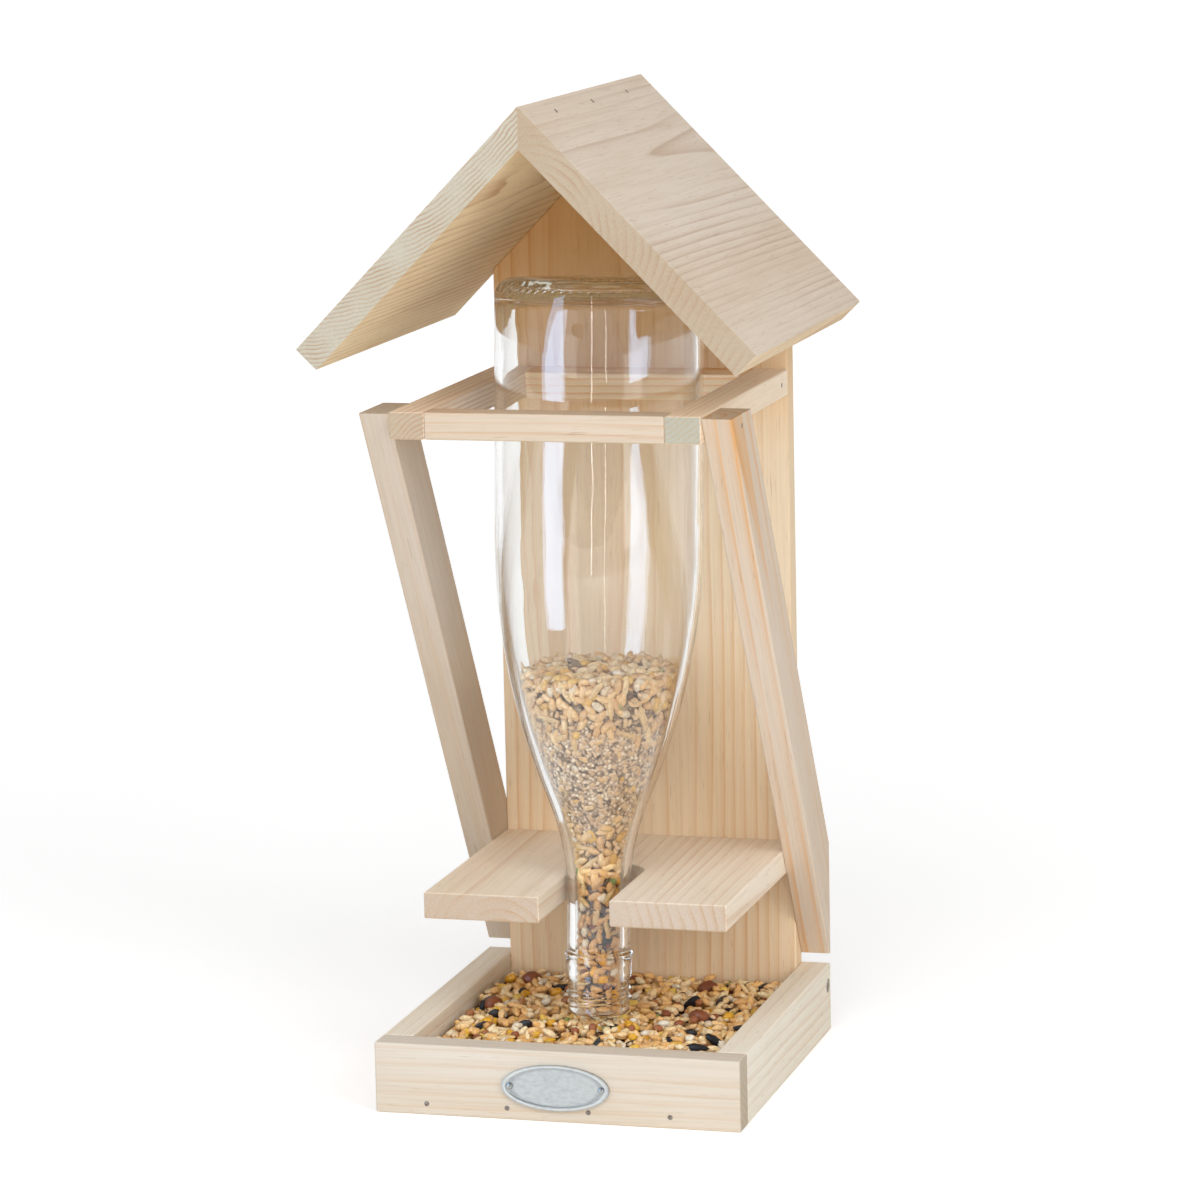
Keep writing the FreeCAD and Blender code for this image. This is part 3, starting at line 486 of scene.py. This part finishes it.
CLEAR_GLASS = (0.985, 0.995, 0.99)
BASE_GLASS = (0.52, 0.54, 0.41)
GLASS_EDGE_PAINTED_SHADE = (0.36, 0.35, 0.37)
PASSED_LIGHT = (0.92, 0.91, 0.89)
DEEPEST_RAY = 4.5
glass_tree, glass_shader, clear_glass = new_material("clear_glass")
glass_shader.inputs["Roughness"].default_value = 0.0
glass_shader.inputs["IOR"].default_value = 1.5
glass_shader.inputs["Transmission Weight"].default_value = 1.0
glass_place = add(glass_tree, "TexCoord").outputs["Object"]
bottle_axis = bottle_place.to_3x3() @ Vector((0, 0, 1))
mouth_level = bottle_axis.dot(bottle_place.translation)
up_bottle = add(glass_tree, "VectorMath", {0: glass_place, 1: bottle_axis},
                operation="DOT_PRODUCT")
thick_base = add(glass_tree, "MapRange", {
    "Value": up_bottle.outputs["Value"], "From Min": mouth_level + BOTTLE_HEIGHT - 0.005,
    "From Max": mouth_level + BOTTLE_HEIGHT - 0.001,
})
glass_colour = blend(glass_tree, thick_base.outputs[0], CLEAR_GLASS, BASE_GLASS)
# Painted shade: the glass darkens towards its outline, where it is seen edge-on
edge_on = add(glass_tree, "LayerWeight", {"Blend": 0.5})
near_edge = add(glass_tree, "Math", {0: edge_on.outputs["Facing"], 1: 3.0}, operation="POWER")
glass_with_painted_edge_shade = blend(glass_tree, near_edge.outputs[0], glass_colour, GLASS_EDGE_PAINTED_SHADE)
glass_tree.links.new(glass_with_painted_edge_shade, glass_shader.inputs["Base Color"])
blown = noise(glass_tree, glass_place, (70, 70, 24), 4.0, detail=2)
blown_bump = add(glass_tree, "Bump", {
    "Height": blown.outputs["Fac"], "Strength": 0.12, "Distance": 0.0015
})
glass_tree.links.new(blown_bump.outputs[0], glass_shader.inputs["Normal"])
# Lamp light, and light that has turned about inside the glass too often, goes straight through
lamp_light = add(glass_tree, "BsdfTransparent", {"Color": (*PASSED_LIGHT, 1)})
ray = add(glass_tree, "LightPath")
is_deep = add(glass_tree, "Math", {0: ray.outputs["Ray Depth"], 1: DEEPEST_RAY},
              operation="GREATER_THAN")
goes_straight = add(glass_tree, "Math", {
    0: ray.outputs["Is Shadow Ray"], 1: is_deep.outputs[0]
}, operation="MAXIMUM")
glass_mix = add(glass_tree, "MixShader", {
    0: goes_straight.outputs[0], 1: glass_shader.outputs[0], 2: lamp_light.outputs[0]
})
glass_tree.links.new(glass_mix.outputs[0], glass_tree.nodes["Material Output"].inputs["Surface"])
bottle = piece("clear_bottle", bottle_shape, clear_glass, "bottle")
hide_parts("bottle")

# The seed: a loose dry mix of wheat, oats, broken maize, sunflower, peanuts and small grain. It
# fills the bottle up to a level top, runs out of the mouth and lies heaped in the tray.

SEED_LEVEL = 0.164
BED_LEVEL = 0.0224
HEAP_TOP = 0.0256
HEAP_RADIUS = 0.0125
HEAP_SLOPE = math.tan(math.radians(28))
SEED_GAP = 0.0003
# size is length, width and thickness, taper how pointed a grain is at both ends and point at one,
# broken how uneven it is, shares its part of the seed in the tray and in the bottle, and tones
# run from dark to pale
SeedKind = namedtuple("SeedKind", "size taper point broken shares tones")
SEED_KINDS = {
    "wheat": SeedKind(
        (0.0064, 0.0035, 0.0030), 0.14, 0.08, 0.08, (48, 60),
        ((0.62, 0.31, 0.10), (0.96, 0.60, 0.24), (1.0, 0.86, 0.56)),
    ),
    "oats": SeedKind(
        (0.0098, 0.0028, 0.0023), 0.30, 0.05, 0.07, (9, 8),
        ((0.64, 0.40, 0.15), (0.94, 0.68, 0.32), (1.0, 0.86, 0.57)),
    ),
    "maize": SeedKind(
        (0.0056, 0.0046, 0.0034), 0.10, 0.15, 0.24, (9, 10),
        ((0.72, 0.32, 0.02), (0.88, 0.50, 0.04), (0.92, 0.66, 0.16)),
    ),
    "sunflower": SeedKind(
        (0.0102, 0.0050, 0.0035), 0.10, 0.36, 0.02, (3, 2),
        ((0.010, 0.010, 0.012), (0.018, 0.018, 0.022), (0.05, 0.05, 0.055)),
    ),
    "small_red_grain": SeedKind(
        (0.0042, 0.0038, 0.0036), 0.0, 0.05, 0.05, (3, 2),
        ((0.18, 0.045, 0.016), (0.34, 0.11, 0.04), (0.48, 0.22, 0.09)),
    ),
    "pale_kernel": SeedKind(
        (0.0052, 0.0040, 0.0030), 0.05, 0.12, 0.22, (6, 9),
        ((0.78, 0.62, 0.42), (0.88, 0.77, 0.58), (0.93, 0.88, 0.76)),
    ),
    "green_pea": SeedKind(
        (0.0042, 0.0036, 0.0034), 0.0, 0.05, 0.10, (1, 1),
        ((0.16, 0.20, 0.04), (0.28, 0.32, 0.08), (0.42, 0.40, 0.16)),
    ),
    "crushed_grain": SeedKind(
        (0.0028, 0.0021, 0.0017), 0.05, 0.10, 0.30, (18, 18),
        ((0.56, 0.34, 0.16), (0.84, 0.57, 0.31), (0.97, 0.77, 0.50)),
    ),
    "red_peanut": SeedKind(
        (0.0096, 0.0078, 0.0074), 0.04, 0.06, 0.01, (0, 0),
        ((0.13, 0.035, 0.014), (0.20, 0.06, 0.022), (0.30, 0.10, 0.04)),
    ),
}
MOULDS_OF_KIND = 5
LEAST_TINT = 0.2

draw = random.Random(20)


def seed_husk(name, tones):
    """One kind of seed: every grain takes its tone from its own tint, with fine streaks."""
    tree, shader, made = new_material(name)
    tint = add(tree, "Attribute", attribute_name="tint").outputs["Fac"]
    colour = ramp(tree, tint, (0.0, tones[0]), (0.5, tones[1]), (1.0, tones[2]))
    place = add(tree, "TexCoord").outputs["Object"]
    streak = noise(tree, place, (900, 900, 900), len(name), detail=3)
    streak_tone = ramp(tree, streak.outputs["Fac"], (0.35, (0.70, 0.66, 0.62)), (0.6, 1.0))
    coloured = blend(tree, 0.7, colour, streak_tone, "MULTIPLY")
    tree.links.new(coloured, shader.inputs["Base Color"])
    rough = ramp(tree, streak.outputs["Fac"], (0.3, 0.52), (0.7, 0.34))
    tree.links.new(rough, shader.inputs["Roughness"])
    shader.inputs["Specular IOR Level"].default_value = 0.4
    bump = add(tree, "Bump", {
        "Height": streak.outputs["Fac"], "Strength": 0.3, "Distance": 0.0003
    })
    tree.links.new(bump.outputs[0], shader.inputs["Normal"])
    return made


husks = {kind: seed_husk(kind, facts.tones) for kind, facts in SEED_KINDS.items()}


def pick_kind(shares):
    return draw.choices(list(shares), weights=list(shares.values()))[0]


def seed_grain(kind):
    """One grain of a kind, its length along Z and a crease down one side."""
    facts = SEED_KINDS[kind]
    length, width, thickness = facts.size
    broken = facts.broken
    shape = bmesh.new()
    shape.verts.layers.float.new("tint")
    bmesh.ops.create_uvsphere(shape, u_segments=7, v_segments=5, radius=0.5)
    for vert in shape.verts:
        along = 2 * vert.co.z
        narrow = (1 - facts.taper * along * along) * (1 - facts.point * along)
        crease = 0.82 if vert.co.x > 0.9 * math.hypot(vert.co.x, vert.co.y) else 1.0
        vert.co.x *= width * narrow * crease * (1 + draw.uniform(-broken, broken))
        vert.co.y *= thickness * narrow * (1 + draw.uniform(-broken, broken))
        vert.co.z *= length * (1 + draw.uniform(-broken, broken))
    mould = bpy.data.meshes.new(kind)
    shape.to_mesh(mould)
    shape.free()
    return mould


moulds = {kind: [seed_grain(kind) for _ in range(MOULDS_OF_KIND)] for kind in SEED_KINDS}


def pour(name, grains, skins, body):
    """One piece for each kind of seed. grains lists (kind, scale, tone, place), where tone scales
    down a grain's tint, as painted shade in the lower layers and in the neck.
    """
    for kind in SEED_KINDS:
        whole = bmesh.new()
        whole.verts.layers.float.new("tint")
        for _, scale, tone, place in [grain for grain in grains if grain[0] == kind]:
            grain = draw.choice(moulds[kind]).copy()
            stretch = [scale * draw.uniform(0.86, 1.1) for _ in range(3)]
            grain.transform(place @ Matrix.Diagonal((*stretch, 1)))
            tint = tone * (LEAST_TINT + (1 - LEAST_TINT) * draw.random())
            for mark in grain.attributes["tint"].data:
                mark.value = tint
            whole.from_mesh(grain)
            bpy.data.meshes.remove(grain)
        if whole.verts:
            piece(f"{name}_{kind}", whole, skins[kind], body)


GRAIN_STEP = 0.0037
GRAIN_ROLL = 0.6
# Half of a grain, with room for its spread in size
HALF_GRAIN = 0.56


def loose(count):
    """A place in a row of grains that lie at uneven steps."""
    return (count + draw.uniform(-0.2, 1.2)) * GRAIN_STEP


def lie(across, along, up, yaw, tip, roll):
    """A grain that lies down, its length turned to a heading."""
    return (
        Matrix.Translation((across, along, up)) @ Matrix.Rotation(yaw, 4, "Z")
        @ Matrix.Rotation(math.radians(90) + tip, 4, "X") @ Matrix.Rotation(roll, 4, "Z")
    )


def bed_height(across, along):
    """Top of the bed: rough and level, and heaped under the bottle's mouth."""
    away = math.hypot(across, along - mouth_along)
    heap = HEAP_TOP - HEAP_SLOPE * max(0.0, away - HEAP_RADIUS)
    rough = 0.0006 * math.sin(170 * across + 1.3) * math.cos(140 * along - 0.6)
    return max(BED_LEVEL + rough, heap)


bed_low, bed_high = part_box("seed_in_tray")
tray_shares = {kind: facts.shares[0] for kind, facts in SEED_KINDS.items()}
tray_grains = []
MOUTH_REACH = 0.021
TRAY_LAYER = 0.0024
TRAY_TIP = 0.42
RAIL_GAP = 0.0004
PLACING_TRIES = 6
# Grains of the lower layer are toned down, as painted shade between the grains above
LOWER_LAYER_PAINTED_SHADE = 0.7
PEANUT_SINK = 0.0008
PEANUT_SPOTS = ((0.028, 0.050), (-0.0515, 0.011), (-0.047, 0.051), (0.036, 0.004))
for layer in range(2):
    columns = int((bed_high.x - bed_low.x) / GRAIN_STEP)
    rows = int((bed_high.y - bed_low.y) / GRAIN_STEP)
    for row in range(rows + 1):
        for column in range(columns + 1):
            across = bed_low.x + loose(column)
            along = bed_low.y + loose(row)
            kind = pick_kind(tray_shares)
            length, width, thickness = SEED_KINDS[kind].size
            side_room = min(across - bed_low.x, bed_high.x - across) - RAIL_GAP
            end_room = min(along - bed_low.y, bed_high.y - along) - RAIL_GAP
            for _ in range(PLACING_TRIES):
                yaw = draw.uniform(-math.pi, math.pi)
                half_x = HALF_GRAIN * max(length * abs(math.sin(yaw)), width)
                half_y = HALF_GRAIN * max(length * abs(math.cos(yaw)), width)
                if half_x < side_room and half_y < end_room:
                    tip = draw.gauss(0, TRAY_TIP)
                    sink = TRAY_LAYER * layer + draw.uniform(-0.0010, 0.0022)
                    lift = 0.5 * length * abs(math.sin(tip))
                    up = bed_height(across, along) - sink - 0.3 * lift - 0.3 * thickness
                    if math.hypot(across, along - mouth_along) < MOUTH_REACH:
                        up = min(up, HEAP_TOP - lift - 0.62 * thickness)
                    place = lie(across, along, up, yaw, tip, draw.uniform(-GRAIN_ROLL, GRAIN_ROLL))
                    tray_grains.append((kind, 1.0, LOWER_LAYER_PAINTED_SHADE if layer else 1.0, place))
                    break

for across, along in PEANUT_SPOTS:
    up = bed_height(across, along) - PEANUT_SINK
    place = lie(across, along, up, draw.uniform(-math.pi, math.pi), 0.0, 0.0)
    tray_grains.append(("red_peanut", 1.0, 1.0, place))

pour("tray", tray_grains, husks, "frame")

BAND_EDGE = 0.012
BED_COVER = 0.0042


def fine_seed(name, tones, band):
    """Crushed seed: a speckle of bits about a millimetre across, in tones from dark to pale, with
    painted shade in the gaps between the bits. It is darker away from a band of heights, as
    painted shade where grains cover it."""
    tree, shader, made = new_material(name)
    place = add(tree, "TexCoord").outputs["Object"]
    bits = add(tree, "TexVoronoi", {"Vector": place, "Scale": 820.0})
    chance = add(tree, "SeparateColor", {0: bits.outputs["Color"]}).outputs[0]
    stops = [(count / (len(tones) - 1), tone) for count, tone in enumerate(tones)]
    colour = ramp(tree, chance, *stops)
    # Painted shade in the gaps between the bits
    painted_gap_shade = ramp(tree, bits.outputs["Distance"], (0.35, 1.0), (0.75, (0.50, 0.45, 0.40)))
    speckle = blend(tree, 1.0, colour, painted_gap_shade, "MULTIPLY")
    height = add(tree, "SeparateXYZ", {0: place}).outputs["Z"]
    rising = add(tree, "MapRange", {
        "Value": height, "From Min": band[0] - BAND_EDGE, "From Max": band[0] + BAND_EDGE
    })
    falling = add(tree, "MapRange", {
        "Value": height, "From Min": band[1] + BAND_EDGE, "From Max": band[1] - BAND_EDGE
    })
    inside = add(tree, "Math", {0: rising.outputs[0], 1: falling.outputs[0]}, operation="MULTIPLY")
    # Painted shade away from the band of heights
    shade = ramp(tree, inside.outputs[0], (0.0, (0.24, 0.20, 0.17)), (1.0, 1.0))
    tree.links.new(blend(tree, 1.0, speckle, shade, "MULTIPLY"), shader.inputs["Base Color"])
    shader.inputs["Roughness"].default_value = 0.9
    bump = add(tree, "Bump", {
        "Height": bits.outputs["Distance"], "Strength": 0.7, "Distance": 0.0008
    }, invert=True)
    tree.links.new(bump.outputs[0], shader.inputs["Normal"])
    return made


# Seed dust under the grains, toned dark as painted shade in the gaps between them
DUST_AND_PAINTED_SHADE_TONES = ((0.03, 0.015, 0.007), (0.12, 0.06, 0.025), (0.22, 0.12, 0.05), (0.42, 0.27, 0.13))
DUST_BAND = (0.0, 0.05)
seed_dust_and_painted_shade = fine_seed("seed_dust_and_painted_shade", DUST_AND_PAINTED_SHADE_TONES, DUST_BAND)

bed_shape = bmesh.new()
bmesh.ops.create_grid(bed_shape, x_segments=60, y_segments=66, size=0.5)
bed_size = bed_high - bed_low
bed_middle = (bed_high + bed_low) / 2
for vert in bed_shape.verts:
    vert.co.x = bed_middle.x + vert.co.x * (bed_size.x - SEED_GAP)
    vert.co.y = bed_middle.y + vert.co.y * (bed_size.y - SEED_GAP)
    vert.co.z = bed_height(vert.co.x, vert.co.y) - BED_COVER
lowered = bmesh.ops.extrude_face_region(bed_shape, geom=bed_shape.faces[:])["geom"]
for part in lowered:
    if isinstance(part, bmesh.types.BMVert):
        part.co.z = bed_low.z
bmesh.ops.recalc_face_normals(bed_shape, faces=bed_shape.faces[:])
bed = piece("tray_seed_bed", bed_shape, seed_dust_and_painted_shade, "frame")
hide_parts("seed_in_tray")

# The seed in the bottle: dusty grains against the glass and on the level top, and cleaner ones
# in the neck, round a core of crushed seed that reaches the glass in a broad band above the neck.

FLOUR = (0.52, 0.33, 0.185)
FLOUR_SHARE = 0.46


def dusty(tones):
    """The tones of a kind, under a film of flour."""
    return [
        tuple(shade + (flour - shade) * FLOUR_SHARE for shade, flour in zip(tone, FLOUR))
        for tone in tones
    ]


dusty_husks = {
    kind: seed_husk("dusty_" + kind, dusty(facts.tones)) for kind, facts in SEED_KINDS.items()
}
bottle_shares = {kind: facts.shares[1] for kind, facts in SEED_KINDS.items()}
bottle_grains = []
neck_grains = []
SLOPE_STEP = 0.001
FINE_FROM = 0.052
FINE_TO = 0.136
FINE_FADE = 0.035


def at_wall(up, angle, depth, yaw, tip):
    """A grain that lies against the inside of the glass."""
    reach = wall_radius(up, WALL) - depth
    outward = Vector((math.cos(angle), math.sin(angle), 0))
    sideways = Vector((-math.sin(angle), math.cos(angle), 0))
    rise = wall_radius(up + SLOPE_STEP, WALL) - wall_radius(up - SLOPE_STEP, WALL)
    slope = rise / (2 * SLOPE_STEP)
    upward = (Vector((0, 0, 1)) + outward * slope).normalized()
    long_way = (upward * math.cos(yaw) + sideways * math.sin(yaw)).normalized()
    inward = long_way.cross(sideways.cross(upward)).normalized()
    flat = inward.cross(long_way)
    turn = Matrix((inward, flat, long_way)).transposed().to_4x4()
    spot = outward * reach + Vector((0, 0, up))
    return bottle_place @ Matrix.Translation(spot) @ turn @ Matrix.Rotation(tip, 4, "Z")


def fineness(up):
    """How much of the seed is crushed, at a distance up the bottle: all of it in the band."""
    return eased((up - FINE_FROM) / FINE_FADE) * eased((FINE_TO - up) / FINE_FADE)


WALL_STEP = 0.0031
WALL_LAYER = 0.0022
FIRST_ROW = 0.0022
ROW_INSET = 0.0015
LAYER_INSET = 0.002
LOWEST_GRAIN = 0.0024
LIP_END = 0.012
LIP_SCALE = 0.75
NECK_END = 0.055
NECK_SCALE = 0.84
# Painted shade: grains in the neck are toned far down, and those of the inner layer less
NECK_PAINTED_SHADE = 0.1
SHOULDER_TONE = 0.7
INNER_LAYER_PAINTED_SHADE = 0.4
CLEAN_SEED_END = 0.060
FINE_SHARE = 0.80
for layer in range(2):
    up = FIRST_ROW
    while up < SHOULDER_TOP:
        row_radius = wall_radius(up, WALL) - ROW_INSET - LAYER_INSET * layer
        count = int(2 * math.pi * row_radius / WALL_STEP)
        for number in range(count):
            place_up = up + draw.uniform(-0.6, 0.6) * WALL_STEP
            place_up = max(place_up, LOWEST_GRAIN)
            angle = 2 * math.pi * (number + draw.uniform(-0.4, 0.4)) / count
            kind = pick_kind(bottle_shares)
            scale = NECK_SCALE if place_up < NECK_END else 1.0
            tone = NECK_PAINTED_SHADE if place_up < NECK_END else SHOULDER_TONE
            tone *= INNER_LAYER_PAINTED_SHADE if layer else 1.0
            if draw.random() < FINE_SHARE * fineness(place_up):
                kind = "crushed_grain"
            if place_up < LIP_END:
                scale = LIP_SCALE
            length, width, thickness = SEED_KINDS[kind].size
            yaw = draw.gauss(0, 0.9)
            depth = 0.5 * thickness * 1.12 * scale + SEED_GAP + WALL_LAYER * layer
            depth += draw.uniform(0, 0.0006) + 0.06 * width * scale
            place = at_wall(place_up, angle, depth, yaw, draw.uniform(-0.3, 0.3))
            if place.translation.z > SEED_LEVEL - 0.0015:
                continue
            if place_up < HALF_GRAIN * length * scale * abs(math.cos(yaw)) + 0.0006:
                continue
            grains = neck_grains if place_up < CLEAN_SEED_END else bottle_grains
            grains.append((kind, scale, tone, place))
        up += WALL_STEP

LEVEL_LAYER = 0.0020
level_up = (SEED_LEVEL - MOUTH_HEIGHT) / math.cos(LEAN)
level_axis = bottle_place @ Vector((0, 0, level_up))
level_reach = wall_radius(level_up, WALL)
level_count = int(2 * level_reach / GRAIN_STEP) + 1
for layer in range(2):
    for row in range(level_count):
        for column in range(level_count):
            across = level_axis.x - level_reach + loose(column)
            along = level_axis.y - level_reach + loose(row)
            kind = pick_kind(bottle_shares)
            length, width, thickness = SEED_KINDS[kind].size
            away = math.hypot(across - level_axis.x, along - level_axis.y)
            if away + 0.45 * length > level_reach - 0.0008:
                continue
            tip = draw.gauss(0, 0.25)
            up = SEED_LEVEL - 0.0010 - LEVEL_LAYER * layer + draw.uniform(-0.0010, 0.0014)
            yaw = draw.uniform(-math.pi, math.pi)
            place = lie(across, along, up, yaw, tip, draw.uniform(-GRAIN_ROLL, GRAIN_ROLL))
            bottle_grains.append((kind, 1.0, 1.0, place))

pour("bottle", bottle_grains, dusty_husks, "bottle")
pour("neck", neck_grains, husks, "bottle")
for kind_moulds in moulds.values():
    for mould in kind_moulds:
        bpy.data.meshes.remove(mould)

CRUSHED_TONES = (
    (0.14, 0.09, 0.055), (0.44, 0.29, 0.18), (0.60, 0.42, 0.27), (0.72, 0.53, 0.36),
    (0.90, 0.76, 0.56),
)
CRUSHED_BAND = (0.092, 0.150)
crushed_seed = fine_seed("crushed_seed", CRUSHED_TONES, CRUSHED_BAND)

CORE_DEPTH = 0.0034
CORE_SWELL = 0.0022
CORE_FOOT = 0.003
CORE_END = 0.170
CORE_COVER = 0.0035


def core_radius(up):
    return wall_radius(up, WALL + CORE_DEPTH - CORE_SWELL * fineness(up))


core_outline = [(0.0, CORE_FOOT)]
core_outline += [(core_radius(up), up) for up in steps(CORE_FOOT, CORE_END, 80)]
core_outline.append((0.0, CORE_END))
core_shape = turned(core_outline, 64)
bmesh.ops.transform(core_shape, matrix=bottle_place, verts=core_shape.verts[:])
trimmed = bmesh.ops.bisect_plane(
    core_shape, geom=core_shape.verts[:] + core_shape.edges[:] + core_shape.faces[:],
    plane_co=(0, 0, SEED_LEVEL - CORE_COVER), plane_no=(0, 0, 1), clear_outer=True,
)
rim = [part for part in trimmed["geom_cut"] if isinstance(part, bmesh.types.BMEdge)]
bmesh.ops.holes_fill(core_shape, edges=rim)
bmesh.ops.recalc_face_normals(core_shape, faces=core_shape.faces[:])
core = piece("bottle_seed_core", core_shape, crushed_seed, "bottle")
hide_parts("seed_in_bottle")

# The studio: a plain pale floor before a white backdrop. Four soft boxes round the camera light
# the feeder, and three strips show only in glass and metal. The camera stands a little above the
# feeder's middle and to its right.

FLOOR_SIZE = 30.0
FLOOR_GREY = 0.88
NEAR_GLOW = 0.33
FAR_GLOW = 0.62
GLOW_START = 0.15
GLOW_END = 2.2
ROOM_FILL = 0.50
DARK_ROOM = 0.16
AIM_HEIGHT = 0.2
floor_shape = bmesh.new()
bmesh.ops.create_grid(floor_shape, x_segments=1, y_segments=1, size=FLOOR_SIZE / 2)
floor_mesh = bpy.data.meshes.new("floor")
floor_shape.to_mesh(floor_mesh)
floor_shape.free()
floor_tree, floor_shader, pale_floor = new_material("pale_floor")
floor_shader.inputs["Base Color"].default_value = (*(FLOOR_GREY,) * 3, 1)
floor_shader.inputs["Roughness"].default_value = 0.9
floor_shader.inputs["Specular IOR Level"].default_value = 0.0
floor_ray = add(floor_tree, "LightPath")
shown = add(floor_tree, "Math", {
    0: floor_ray.outputs["Is Camera Ray"], 1: floor_ray.outputs["Is Transmission Ray"]
}, operation="MAXIMUM")
seen = add(floor_tree, "Math", {
    0: shown.outputs[0], 1: floor_ray.outputs["Is Glossy Ray"]
}, operation="MAXIMUM")
floor_place = add(floor_tree, "TexCoord").outputs["Object"]
floor_reach = add(floor_tree, "VectorMath", {0: floor_place}, operation="LENGTH")
lit_share = add(floor_tree, "MapRange", {
    "Value": floor_reach.outputs["Value"], "From Min": GLOW_START, "From Max": GLOW_END,
    "To Min": NEAR_GLOW, "To Max": FAR_GLOW,
})
glow = add(floor_tree, "Math", {
    0: seen.outputs[0], 1: lit_share.outputs[0]
}, operation="MULTIPLY")
floor_shader.inputs["Emission Color"].default_value = (1, 1, 1, 1)
floor_tree.links.new(glow.outputs[0], floor_shader.inputs["Emission Strength"])
floor_mesh.materials.append(pale_floor)
floor = bpy.data.objects.new("floor", floor_mesh)
bpy.context.scene.collection.objects.link(floor)

world = bpy.data.worlds.new("white_room")
world.use_nodes = True
bpy.context.scene.world = world
sky = world.node_tree.nodes["Background"]
sky.inputs["Color"].default_value = (1, 1, 1, 1)
sky_ray = add(world.node_tree, "LightPath")
sky_seen = add(world.node_tree, "Math", {
    0: sky_ray.outputs["Is Camera Ray"], 1: sky_ray.outputs["Is Transmission Ray"]
}, operation="MAXIMUM")
# Glass and metal mirror the white backdrop, and a dark room behind the camera
sky_way = add(world.node_tree, "TexCoord").outputs["Generated"]
backward = add(world.node_tree, "SeparateXYZ", {0: sky_way}).outputs["Y"]
mirrored_sky = add(world.node_tree, "MapRange", {
    "Value": backward, "From Min": 0.2, "From Max": 0.8, "To Min": DARK_ROOM,
    "To Max": 1.0,
})
sky_fill = add(world.node_tree, "MapRange", {
    "Value": sky_ray.outputs["Is Glossy Ray"], "To Min": ROOM_FILL,
    "To Max": mirrored_sky.outputs[0],
})
sky_strength = add(world.node_tree, "MapRange", {
    "Value": sky_seen.outputs[0], "To Min": sky_fill.outputs[0], "To Max": 1.0
})
world.node_tree.links.new(sky_strength.outputs[0], sky.inputs["Strength"])


def soft_light(name, place, width, height, power, mirrored, colour=(1, 1, 1)):
    """A soft box that faces the feeder. One that is mirrored only shows in glass and metal."""
    lamp = bpy.data.lights.new(name, "AREA")
    lamp.shape = "RECTANGLE"
    lamp.size = width
    lamp.size_y = height
    lamp.energy = power
    lamp.color = colour
    made = bpy.data.objects.new(name, lamp)
    bpy.context.scene.collection.objects.link(made)
    way = Vector((0, 0, AIM_HEIGHT)) - Vector(place)
    made.matrix_world = (
        Matrix.Translation(place) @ way.to_track_quat("-Z", "Y").to_matrix().to_4x4()
    )
    made.visible_camera = False
    made.visible_glossy = mirrored
    made.visible_transmission = mirrored
    made.visible_diffuse = not mirrored


soft_light("right_light", (1.42, -1.06, 0.95), 0.75, 1.3, 12, False)
soft_light("front_light", (0.4, -1.85, 0.46), 1.0, 0.9, 8, False)
soft_light("left_light", (-0.9, -1.55, 0.70), 0.8, 0.6, 3, False)
soft_light("high_light", (0.1, -1.4, 1.6), 1.2, 1.0, 11, False)
soft_light("right_strip", (1.40, -1.02, 0.75), 0.75, 1.3, 4.3, True)
soft_light("left_strip", (-0.29, -0.41, 0.37), 0.22, 0.72, 2.5, True, (0.68, 1.0, 1.45))
soft_light("narrow_strip", (0.27, -1.88, 0.50), 0.02, 1.0, 0.8, True)

SENSOR_WIDTH = 36
LENS = 143.92
CAMERA_PLACE = (0.506371, -1.784966, 0.518504)
CAMERA_TURN = math.radians(15.836)
CAMERA_TIP = math.radians(90 - 10.028)
CAMERA_ROLL = math.radians(-1.25)
camera_data = bpy.data.cameras.new("photo_camera")
camera_data.sensor_width = SENSOR_WIDTH
camera_data.lens = LENS
camera = bpy.data.objects.new("photo_camera", camera_data)
bpy.context.scene.collection.objects.link(camera)
camera.matrix_world = (
    Matrix.Translation(CAMERA_PLACE) @ Matrix.Rotation(CAMERA_TURN, 4, "Z")
    @ Matrix.Rotation(CAMERA_TIP, 4, "X") @ Matrix.Rotation(CAMERA_ROLL, 4, "Z")
)
bpy.context.scene.camera = camera
bpy.context.scene.view_settings.view_transform = "Standard"
